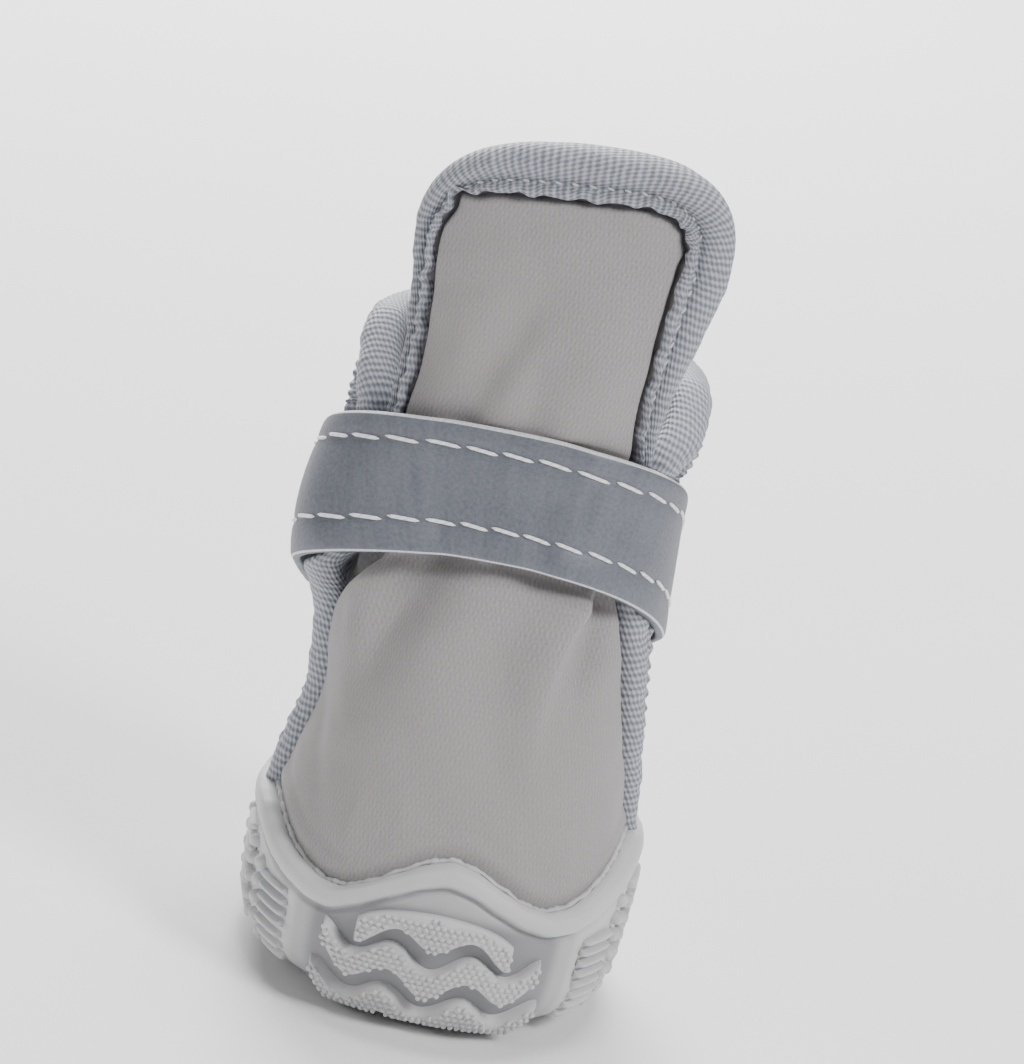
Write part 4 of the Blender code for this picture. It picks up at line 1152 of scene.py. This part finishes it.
# walk round the section; place across the strap and height above its underside, in millimetres
strapSection = (
    (-7.65, 0.00), (-3.5, 0.02), (0.0, 0.02), (3.5, 0.02), (6.65, 0.00),
    (6.78, 0.08), (6.82, 0.35), (6.80, 0.70), (6.72, 0.92), (6.52, 1.10), (6.20, 1.20), (5.60, 1.24),
    (4.90, 1.22), (4.55, 1.12), (4.15, 1.03), (3.75, 1.12), (3.40, 1.22), (2.40, 1.26), (1.20, 1.28),
    (0.0, 1.29), (-1.20, 1.28), (-2.40, 1.26), (-3.40, 1.22), (-3.75, 1.12), (-4.15, 1.03), (-4.55, 1.12),
    (-4.90, 1.22), (-6.00, 1.24), (-7.15, 1.20), (-7.52, 1.10), (-7.72, 0.92), (-7.80, 0.70), (-7.82, 0.35),
    (-7.78, 0.08),
)
cutEdge = ((5, 9), (29, 30))    # the section's faces between these points are the cut edge


def strapLift(ownArc, across):
    # the lift under the strap: over tape and closure, and off the vamp along its lower edge
    base = throughRows(strapLiftRows, 1, ownArc / halfWidth, level=True)
    front = 1 - smoothStep(np.abs(ownArc), *strap["frontFade"])
    off = smoothStep(-across, -1 * mm, strap["lowerHalf"]) * strap["standOff"]
    slack = strap["leftSlack"] * bump(ownArc, *strap["slackArcs"])
    slack = slack * smoothStep(-across, *strap["slackAcross"])
    return base + front * off + slack + lumps(ownArc, strap["waves"])


def bandPiece(name, node, start, end, halfBand, section, lift, materials, roundEnd=False, edgeFaces=()):
    own = np.linspace(start, end - (halfBand if roundEnd else 0), int((end - start) / strap["step"]))
    half = np.full(own.shape, halfBand)
    if roundEnd:
        turn = np.radians(np.linspace(0, 86, 22)[1:])
        own = np.concatenate((own, end - halfBand + halfBand * np.sin(turn)))
        half = np.concatenate((half, halfBand * np.cos(turn)))
    section = np.array(section) * mm
    across = section[None, :, 0] * (half / halfBand)[:, None]
    along = own[:, None] * np.ones(across.shape)
    points = strapPlace(along, across, lift(along, across) + section[None, :, 1])
    faces = tubeFaces(len(own), len(section))
    kinds = np.zeros(len(faces), int)
    for first, after in edgeFaces:
        kinds[:-2].reshape(-1, len(section))[:, first:after] = 1
    if edgeFaces and roundEnd:
        kinds[-1] = 1
    walked = np.cumsum(np.hypot(*np.gradient(section, axis=0).T))[None] * np.ones(across.shape)
    uv = np.stack((along, walked), axis=-1) / mm + 80
    piece = newPiece(name, points, faces, materials, uv=uv, faceMaterial=kinds)
    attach(piece, "root")
    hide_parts(node)
    return piece


def strapFace(ownArc, across, above):
    # a place above the strap's own underside
    return strapPlace(ownArc, across, strapLift(ownArc, across) + above)


bandPiece("strap_band", "strap", strap["sewnEnd"], strap["freeEnd"], strap["upperHalf"], strapSection,
                  strapLift, (webbing, webbingEdge), roundEnd=True, edgeFaces=cutEdge)

sewn, free = strap["stitchMargins"]
for rowName, rowPlace in (("upper", 1), ("lower", -1)):
    at = np.arange(strap["sewnEnd"] + sewn, strap["freeEnd"] - free, strap["stitchPitch"])
    count = np.arange(len(at))
    (alongBy, alongTurn), (acrossBy, acrossTurn) = strap["unevenAlong"], strap["unevenAcross"]
    at = at + alongBy * np.sin(alongTurn * count)
    row = rowPlace * strap["stitchRow"] + acrossBy * np.sin(acrossTurn * count + rowPlace)
    stitches("strap_stitches_" + rowName, strapThread, strap, strapFace,
             at, row, np.full(at.shape, strap["stitchLift"]))


# Closure under the strap's free end: loop pad on the quarter, hook pad on the strap

# own arcs of its two ends, half width, thickness and lift off the form
closure = {
    "loop_pad": ((38.0 * mm, 64.0 * mm), 6.5 * mm, 0.9 * mm, 0.3 * mm),
    "hook_pad": ((44.0 * mm, 58.5 * mm), 5.5 * mm, 0.8 * mm, 1.5 * mm),
}


def padSection(half, thickness):
    # a flat pad with softened edges
    edge = half / mm
    thick = thickness / mm
    right = ((edge - 0.1, 0.0), (edge, 0.2 * thick), (edge, 0.7 * thick),
             (edge - 0.3, thick), (0.5 * edge, thick))
    left = tuple((-across, up) for across, up in right[::-1])
    return (left[-1],) + right + ((0.0, thick),) + left[:-1]


for padName, padNode, padCloth in (("loop_pad", "loop_patch", loopPile),
                                   ("hook_pad", "hook_patch", hookTape)):
    padArcs, padHalf, padThick, padLift = closure[padName]
    pad = bandPiece(padName, padNode, *padArcs, padHalf, padSection(padHalf, padThick),
                    lambda along, across, rise=padLift: np.full(along.shape, rise), (padCloth,))
print("strap and closure: ready")


# Insole: a foam sock, dished a little, loose inside the upper

insole = {"thickness": 2.0 * mm, "inset": 2.8 * mm, "dish": 0.35 * mm, "edge": 0.7 * mm, "around": 160}


def insolePiece():
    low, thick, dish, soft = panels["bottom"], insole["thickness"], insole["dish"], insole["edge"]
    share = np.linspace(-1, 1, insole["around"], endpoint=False)
    rim = raised(form, share * halfRound(low + mm), low + mm, -insole["inset"])[:, :2]
    turn = np.linspace(0, np.pi / 2, 7)
    # rings as shares of the rim and heights: the underside, the side, its rounded edge and the top
    under = [(scale, 0.0) for scale in (0.03, 0.35, 0.7, 0.96)]
    side = [(1.0, 0.3 * mm), (1.0, thick - soft)]
    edge = [(1 - 0.04 * (1 - np.cos(a)), thick - soft * (1 - np.sin(a))) for a in turn[1:]]
    top = [(scale, thick - dish * (1 - scale ** 2)) for scale in np.linspace(0.94, 0.03, 16)]
    rings = np.array(under + side + edge + top)
    level = np.broadcast_to((low + rings[:, 1])[:, None, None], (len(rings), len(share), 1))
    points = np.concatenate((rim[None] * rings[:, :1, None], level), axis=-1)
    piece = newPiece("foam_sock", points, tubeFaces(len(rings), len(share)), (foamSock,),
                     uv=points[..., :2] / mm + 40)
    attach(piece, "root")
    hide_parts("insole")


insolePiece()


# Outsole: a cup with a rolled bead, wavy toe lugs, side ribs and studs, and tread bars underneath

sole = {
    "lugHeight": 1.8 * mm,
    "floor": 2.6 * mm,
    "edgeWidth": 3.6 * mm,
    "edgeHeight": 4.8 * mm,
    "toeSpring": 0.5 * mm,
    "springStart": 14.0 * mm,
    "bead": 2.4 * mm,
    "beadProud": 0.65 * mm,
    "grooveDepth": 0.65 * mm,
    "grooveBelow": 0.32 * mm,     # from the bead's foot to the groove's middle
    "grooveWidth": 0.34 * mm,
    "lipRound": 0.16 * mm,        # the rim's rounding, from its outer side
    "lipHeight": 0.22 * mm,
    "beadSpace": 4.4 * mm,        # the plain wall ends this far below the rim
    "sideStep": 0.28 * mm,        # the sides lie a little below the toe's face
    "faceEnds": (0.215, 0.235),   # shares of the way to the heel between which the toe's face ends
    "stepEnds": (0.225, 0.233),
    "rimWaves": ((0.13, 0.07 * mm, 0.5), (0.047, 0.04 * mm, 1.1)),
    "around": 440,
    "root": 0.5 * mm,
    "lugWidth": 3.25 * mm,
    "lugProud": 1.5 * mm,
    "wave": 1.2 * mm,
    "waveLength": 8.0 * mm,
    "barWidth": 3.0 * mm,
    "barPitch": 6.6 * mm,
    "ribHeight": 0.78 * mm,
    "ribPitch": 1.35 * mm,
    "ribProud": 0.75 * mm,
    "dotPitch": 0.70 * mm,
    "dotRadius": 0.30 * mm,
    "dotProud": 0.30 * mm,
    "dotSunk": 0.12 * mm,
    "dotInset": 0.34 * mm,        # from a lug's long edges
    "dotEnds": 0.5 * mm,          # and from its ends
    "dotRows": 0.87,              # row pitch as a share of the pitch
    "studPitch": 2.15 * mm,
    "studRadius": 0.80 * mm,
    "studProud": 0.95 * mm,
    "studSunk": 0.3 * mm,
    "studFoot": 3.2 * mm,         # height of the lowest row
    "studRoom": 1.5 * mm,         # between the top row and the bead
    "glueRadius": 0.36 * mm,
    "glueLift": 0.20 * mm,
    "glueWaves": ((0.031, 0.07 * mm, 0.2), (0.0137, 0.05 * mm, 1.0), (0.0071, 0.04 * mm, 2.0)),
    "glueDrift": ((0.045, 0.08 * mm, 0.7),),
    "faceShade": 0.36,            # how much painted shade darkens the toe's face
    "panelShade": 0.62,           # and how much more painted shade its sunk panel between the lugs gets
    "panelArcs": (12.5 * mm, 14.5 * mm),
    "panelTop": (14.8 * mm, 16 * mm),
    "panelFall": 0.12,            # its top is lower towards its ends
    "faceTop": (3.2 * mm, 2.2 * mm),      # below the rim
}
underShares = (0.03, 0.3, 0.6, 0.85, 0.96)      # rings of the underside as shares of its edge
floorLevel = sole["lugHeight"] + sole["floor"]

# toe lugs from the top: height as a share of the rim's, half span as a share of the last's half width,
# waves of the upper and lower edge as shares of the wave, and how far the ends hang as a share of its width
toeLugs = ((0.655, 0.40, 0.0, 1.0, 0.55), (0.385, 0.565, 1.0, 1.0, -0.35), (0.125, 0.60, 1.0, 1.0, -0.35))
ribBlocks = ((0.245, 0.320), (0.395, 0.470), (0.595, 0.670), (0.745, 0.820))
studBlocks = ((0.337, 0.382), (0.487, 0.582), (0.687, 0.732), (0.840, 0.970))


def wallFace(share, height, proud=0.0):
    # the form lifted by the cup's wall, drawn in by a quarter ellipse near the ground, with the toe sprung
    share, height, proud = np.broadcast_arrays(share, height, proud)
    near = np.clip(1 - np.maximum(height - sole["lugHeight"], 0) / sole["edgeHeight"], 0, 1)
    inset = sole["edgeWidth"] * (1 - np.sqrt(1 - near ** 2))

    def surface(first, second):
        return onForm(form, first * halfRound(second), second)

    out = last["gap"] + last["cupWall"] - inset + proud
    point = surface(share, height) + outward(surface, share, height, 0.4 * mm) * out[..., None]
    start = sole["springStart"]
    ahead = np.clip(-point[..., 1] - start, 0, None) / (last["soleLength"] / 2 - start)
    fade = 1 - smoothStep(height, sole["lugHeight"], rimTop)
    point[..., 2] = height + sole["toeSpring"] * ahead ** 2 * fade
    return point


def soleSkin(share, height, out):
    # moved out along the wall's own normal
    share, height, out = np.broadcast_arrays(share, height, out)
    low = np.maximum(height - 0.2 * mm, sole["lugHeight"])
    along = wallFace(share + 0.003, height) - wallFace(share - 0.003, height)
    up = wallFace(share, low + 0.4 * mm) - wallFace(share, low)
    normal = np.cross(along, up)
    normal /= np.linalg.norm(normal, axis=-1, keepdims=True)
    return wallFace(share, height) + normal * out[..., None]


def rubberPiece(name, points, faces, paintedShade=None):
    piece = newPiece(name, points, faces, (rubber,), sharp=50, paintedShade=paintedShade)
    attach(piece, "root")
    return piece


def tubeRun(rings):
    # rings (stations, points, 3) as one closed tube
    return rings.reshape(-1, 3), tubeFaces(*rings.shape[:2])


def joined(parts):
    points, faces, start = [], [], 0
    for ownPoints, ownFaces in parts:
        faces += [[i + start for i in face] for face in ownFaces]
        points.append(ownPoints)
        start += len(ownPoints)
    return np.concatenate(points), faces


def cupPiece():
    # rings from the middle of the underside, round the edge, up the wall, over the bead and down inside
    share = np.linspace(-1, 1, sole["around"], endpoint=False)
    rim = rimHeight(share) + lumps(share, sole["rimWaves"])
    low, bead, wall = sole["lugHeight"], sole["bead"], last["cupWall"]
    under = wallFace(share, low)
    rings = [np.stack((under[:, 0] * scale, under[:, 1] * scale, low + (under[:, 2] - low) * scale), axis=-1)
             for scale in underShares]
    for level in 1 - np.cos(np.linspace(0, np.pi / 2, 16)):
        rings.append(wallFace(share, low + sole["edgeHeight"] * level))
    roundTop = low + sole["edgeHeight"]
    step = sole["sideStep"] * smoothStep(np.abs(share), *sole["stepEnds"])
    for level in np.linspace(0, 1, 12)[1:]:
        height = roundTop + (rim - sole["beadSpace"] - roundTop) * level
        sunk = step * smoothStep(level, 0, 0.25) * (1 - smoothStep(level, 0.8, 1))
        rings.append(wallFace(share, height, -sunk))
    for drop in np.linspace(sole["beadSpace"] - 0.2 * mm, sole["lipRound"], 34):
        crest = np.sqrt(np.clip(1 - ((drop - bead / 2) / (bead / 2)) ** 2, 0, 1)) * sole["beadProud"]
        past = (drop - bead - sole["grooveBelow"]) / sole["grooveWidth"]
        rings.append(wallFace(share, rim - drop, crest - sole["grooveDepth"] * np.exp(-past ** 2)))
    outside = len(rings)
    for turn in np.radians((20, 45, 75, 110, 145, 170)):
        rings.append(wallFace(share, rim - sole["lipRound"] + sole["lipHeight"] * np.sin(turn),
                              -wall / 2 + (wall / 2 - 0.1 * mm) * np.cos(turn)))
    for level in (0.96, 0.75, 0.5, 0.25, 0.03):
        rings.append(wallFace(share, floorLevel + (rim - floorLevel) * level, -wall))
    inner = raised(form, share * halfRound(floorLevel), floorLevel, last["gap"])
    rings += [inner * (scale, scale, 0) + (0, 0, floorLevel) for scale in (1.0, 0.6, 0.03)]
    points = np.stack(rings)
    inside = points[-8:-3]                      # low down the inner wall stays on the form
    target = raised(form, share * halfRound(floorLevel + mm), floorLevel + mm, last["gap"])
    inside[..., :2] = np.where((inside[..., 2:] < floorLevel + 3 * mm), target[None, :, :2], inside[..., :2])
    arc = np.abs(share * halfRound(12 * mm))[None]
    level = points[..., 2]
    # painted shade: the toe's face below the bead is darkened, and the sunk panel between the lugs more
    face = (1 - smoothStep(np.abs(share)[None], *sole["faceEnds"])) \
        * (1 - smoothStep(level, rim - sole["faceTop"][0], rim - sole["faceTop"][1]))
    panelLow, panelHigh = sole["panelTop"]
    panel = 1 - smoothStep(level, panelLow - arc * sole["panelFall"], panelHigh)
    panel = panel * (1 - smoothStep(arc, *sole["panelArcs"]))
    paintedShade = (sole["faceShade"] + sole["panelShade"] * panel) * face
    paintedShade[outside:] = 0
    piece = rubberPiece("cup_sole", points, tubeFaces(len(points), sole["around"]), paintedShade=paintedShade)
    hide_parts("outsole")


def glueLine():
    # the bonding glue squeezed out between cup and cloth: an uneven thread round the rim's inner edge
    share = np.linspace(-1, 1, sole["around"] + 1)
    rim = rimHeight(share) + 0.02 * mm
    radius = (sole["glueRadius"] + lumps(share, sole["glueWaves"]))[:, None]
    turn = np.linspace(0, 2 * np.pi, 7, endpoint=False)[None]
    height = (rim + lumps(share, sole["glueDrift"]))[:, None] + radius * np.sin(turn)
    lift = sole["glueLift"] + radius * np.cos(turn)
    return tubeRun(raised(form, (share * halfRound(rim))[:, None], height, lift))


def lugLines(arc, height, reach, upperWave, lowerWave, hang):
    # upper and lower edge of a toe lug at an arc: two waves about a line whose ends hang or rise
    along = arc / reach
    middle = rimTop * height - hang * sole["lugWidth"] * along ** 2
    half = sole["lugWidth"] / 2 * (1 - 0.45 * along ** 6)
    dip = -sole["wave"] * np.cos(2 * np.pi * arc / sole["waveLength"])
    return middle + half + upperWave * dip, middle - half + lowerWave * dip


lugSection = ((-1.0, -0.42), (-0.985, 0.30), (-0.93, 0.72), (-0.80, 0.95), (-0.5, 1.0), (0.0, 1.0), (0.5, 1.0),
              (0.80, 0.95), (0.93, 0.72), (0.985, 0.30), (1.0, -0.42))


def toeLugRun(height, halfSpan, upperWave, lowerWave, hang):
    reach = halfWidth * halfSpan
    turn = np.linspace(-1, 1, 110)
    arc = reach * np.sign(turn) * (1 - (1 - np.abs(turn)) ** 1.35)
    high, low = lugLines(arc, height, reach, upperWave, lowerWave, hang)
    fade = np.clip(1 - np.abs(arc / reach) ** 26, 0.12, 1)[:, None]
    up = np.array([row[0] for row in lugSection])[None]
    out = np.array([row[1] for row in lugSection])[None] * sole["lugProud"] * fade
    spot = np.maximum((low + high)[:, None] / 2 + up * (high - low)[:, None] / 2, sole["lugHeight"])
    share = arc[:, None] / halfRound(rimTop * height) * np.ones(spot.shape)
    return tubeRun(soleSkin(share, spot, out))


def dome(radius, proud, sides, rings, sunk):
    # a low round boss with its foot sunk in the rubber: places (along, up, out)
    turn = np.linspace(0, 2 * np.pi, sides, endpoint=False)
    rows = [(1.0, -sunk)] + [(np.cos(a) ** 0.7, proud * np.sin(a)) for a in np.linspace(0.12, 1.35, rings)]
    return np.array([[(radius * r * np.cos(a), radius * r * np.sin(a), out) for a in turn]
                     for r, out in rows])


def bosses(template, arcs, heights, base):
    # the same boss at every place on the cup's wall
    shape = template.reshape(-1, 3)
    share = (arcs[:, None] + shape[:, 0]) / halfRound(heights)[:, None]
    height = np.maximum(heights[:, None] + shape[:, 1], sole["lugHeight"])
    points = soleSkin(share, height, base + shape[:, 2])
    return points.reshape(-1, 3), repeatedFaces(template, len(arcs))


def lugDots():
    places = []
    for height, halfSpan, upperWave, lowerWave, hang in toeLugs:
        reach = halfWidth * halfSpan
        pitch = sole["dotPitch"]
        rowCount = int(4.5 * sole["lugWidth"] / pitch)
        for row in range(-rowCount, rowCount + 1):
            arc = np.arange(-reach, reach, pitch) + (pitch / 2 if row % 2 else 0)
            spot = rimTop * height + row * pitch * sole["dotRows"] + 0.05 * mm * np.sin(9 * arc / mm)
            high, low = lugLines(arc, height, reach, upperWave, lowerWave, hang)
            inset = sole["dotInset"]
            keep = (spot < high - inset) & (spot > np.maximum(low, sole["lugHeight"]) + inset) \
                & (np.abs(arc) < reach - sole["dotEnds"])
            places.append(np.stack((arc[keep], np.broadcast_to(spot, arc.shape)[keep]), axis=1))
    places = np.concatenate(places)
    dot = dome(sole["dotRadius"], sole["dotProud"], 7, 3, sole["dotSunk"])
    return bosses(dot, *places.T, sole["lugProud"] - 0.02 * mm)


def ribRun(start, end, height):
    # a level bar with rounded ends and a soft crest
    turn = np.linspace(0, 1, 16)
    share = start + (end - start) * turn
    ends = np.clip(np.minimum(turn, 1 - turn) * 14, 0.15, 1) ** 0.6
    section = np.array([(-1.0, -0.6), (-0.92, 0.25), (-0.70, 0.80), (-0.30, 1.0), (0.30, 1.0), (0.70, 0.80),
                        (0.92, 0.25), (1.0, -0.6)])
    up = section[None, :, 0] * sole["ribHeight"] / 2 * np.ones((16, 1))
    out = section[None, :, 1] * sole["ribProud"] * ends[:, None]
    return tubeRun(soleSkin(share[:, None] * np.ones(up.shape), height + up, out))


def sideRibs():
    runs = []
    for start, end in [(way * start, way * end) for start, end in ribBlocks for way in (1, -1)]:
        top = float(min(rimHeight(start), rimHeight(end))) - sole["bead"] - sole["ribPitch"]
        for height in np.arange(sole["lugHeight"] + sole["ribPitch"], top + 0.01 * mm, sole["ribPitch"]):
            runs.append(ribRun(start, end, height))
    return joined(runs)


def sideStuds():
    places = []
    for start, end in studBlocks:
        around = float(halfRound(10 * mm))
        columns = max(1, int(round((end - start) * around / sole["studPitch"])))
        for column in range(columns + 1):
            share = start + (end - start) * column / columns
            shift = sole["studPitch"] / 2 if column % 2 else 0
            for way in (1, -1):
                top = float(rimHeight(way * share)) - sole["bead"] - sole["studRoom"]
                heights = np.arange(sole["studFoot"] + shift, top, sole["studPitch"])
                places += [(way * share * float(halfRound(h)), h) for h in heights]
    stud = dome(sole["studRadius"], sole["studProud"], 12, 5, sole["studSunk"])
    return bosses(stud, *np.array(places).T, 0.0)


def treadBars():
    edge = wallFace(np.linspace(0, 1, 90), sole["lugHeight"])
    runs = []
    ahead = int(sole["springStart"] / sole["barPitch"])
    behind = int((last["soleLength"] / 2 - sole["edgeWidth"] - sole["barWidth"]) / sole["barPitch"])
    section = np.array([(-1.0, 1.25), (-0.93, 0.12), (-0.80, 0.0), (0.80, 0.0), (0.93, 0.12), (1.0, 1.25)])
    for y in np.arange(-ahead, behind + 1) * sole["barPitch"]:
        margin = sole["wave"] + sole["barWidth"] / 2
        reach = min(np.interp(y + way * margin, edge[:, 1], edge[:, 0]) for way in (-1, 1))
        x = np.linspace(-reach + sole["root"], reach - sole["root"], 70)[:, None] * np.ones((1, len(section)))
        line = y + sole["wave"] * np.sin(2 * np.pi * x / sole["waveLength"])
        runs.append(tubeRun(np.stack((x, line + section[:, 0] * sole["barWidth"] / 2,
                                      section[:, 1] * sole["lugHeight"] * np.ones(x.shape)), axis=-1)))
    return joined(runs)


cupPiece()
rubberPiece("glue_line", *glueLine())
rubberPiece("toe_lugs", *joined([toeLugRun(*row) for row in toeLugs]))
rubberPiece("lug_dots", *lugDots())
rubberPiece("side_ribs", *sideRibs())
rubberPiece("side_studs", *sideStuds())
rubberPiece("tread_bars", *treadBars())
print("outsole: ready")


# Floor, light and camera

studio = {
    "floorSize": 3.0,
    "floorTones": ("#f2f2f2", "#f4f4f4"),
    "lightTone": "#ffffff",
    "worldTone": "#ffffff",
    "worldStrength": 0.12,
}
# name, place, what it points at, size in metres and power in watts
lights = (
    ("keyLight", (0.62, -0.50, 0.72), (0, 0, 0.05), 0.36, 9.0),
    ("fillLight", (-0.70, -0.45, 0.40), (0, 0, 0.05), 0.70, 2.1),
    ("topLight", (0.0, 0.20, 0.92), (0, 0, 0.05), 0.50, 8.2),
    ("backdropLight", (-0.20, 0.95, 0.55), (0, 0.45, 0), 0.60, 19.0),
)
view = {
    "target": (0.0, 0.0, 0.05),
    "distance": 0.5,
    "azimuth": -3.5,
    "elevation": 17.0,
    "roll": 13.2,
    "focalPixels": 4400.0,      # focal length in pixels of the 1024 x 1064 image
    "imageSize": (1024, 1064),
    "targetPixel": (511, 552),  # where the target falls in that image
}


def paperFloor():
    # seamless background paper: matt, nearly white, with the slightest mottle
    made, tree = newMaterial("seamlessPaper", {"Roughness": 0.9, "Specular IOR Level": 0.2})
    place = addNode(tree, "TexCoord", None, None, out=3)
    mottle = addNode(tree, "TexNoise", None, {"Vector": place, "Scale": 6.0})
    finished(made, {"Base Color": blendColours(tree, mottle, *studio["floorTones"])})
    size = studio["floorSize"]
    corners = [(x * size, y * size, -0.00002) for x, y in ((-1, -1), (1, -1), (1, 1), (-1, 1))]
    mesh = bpy.data.meshes.new("floor")
    mesh.from_pydata(corners, [], [(0, 1, 2, 3)])
    mesh.materials.append(made)
    floor = bpy.data.objects.new("floor", mesh)
    bpy.context.scene.collection.objects.link(floor)


def softLight(name, position, aim, size, power):
    light = bpy.data.lights.new(name, "AREA")
    light.shape = "DISK"
    light.size = size
    light.energy = power
    light.color = linearColour(studio["lightTone"])[:3]
    lamp = bpy.data.objects.new(name, light)
    bpy.context.scene.collection.objects.link(lamp)
    lamp.location = position
    lamp.rotation_mode = "QUATERNION"
    lamp.rotation_quaternion = (Vector(aim) - Vector(position)).to_track_quat("-Z", "Y")


def placeCamera():
    azimuth, elevation, roll = np.radians((view["azimuth"], view["elevation"], view["roll"]))
    level = np.cos(elevation)
    back = Vector((np.sin(azimuth) * level, -np.cos(azimuth) * level, np.sin(elevation)))
    right = Vector((np.cos(azimuth), np.sin(azimuth), 0.0))
    up = back.cross(right)
    across = np.cos(roll) * right + np.sin(roll) * up
    upward = -np.sin(roll) * right + np.cos(roll) * up
    width, height = view["imageSize"]
    data = bpy.data.cameras.new("camera")
    data.sensor_width = 36.0
    data.lens = view["focalPixels"] * data.sensor_width / max(width, height)
    data.shift_x = -(view["targetPixel"][0] - width / 2) / max(width, height)
    data.shift_y = (view["targetPixel"][1] - height / 2) / max(width, height)
    data.clip_start = 0.01
    data.clip_end = 20.0
    camera = bpy.data.objects.new("camera", data)
    bpy.context.scene.collection.objects.link(camera)
    turned = Matrix((across, upward, back)).transposed()
    camera.rotation_mode = "QUATERNION"
    camera.rotation_quaternion = turned.to_quaternion()
    camera.location = Vector(view["target"]) + view["distance"] * back
    bpy.context.scene.camera = camera


paperFloor()
for row in lights:
    softLight(*row)
placeCamera()

world = bpy.data.worlds.new("studio")
world.use_nodes = True
sky = world.node_tree.nodes["Background"]
sky.inputs["Color"].default_value = linearColour(studio["worldTone"])
sky.inputs["Strength"].default_value = studio["worldStrength"]
bpy.context.scene.world = world
print("floor, light and camera: ready")
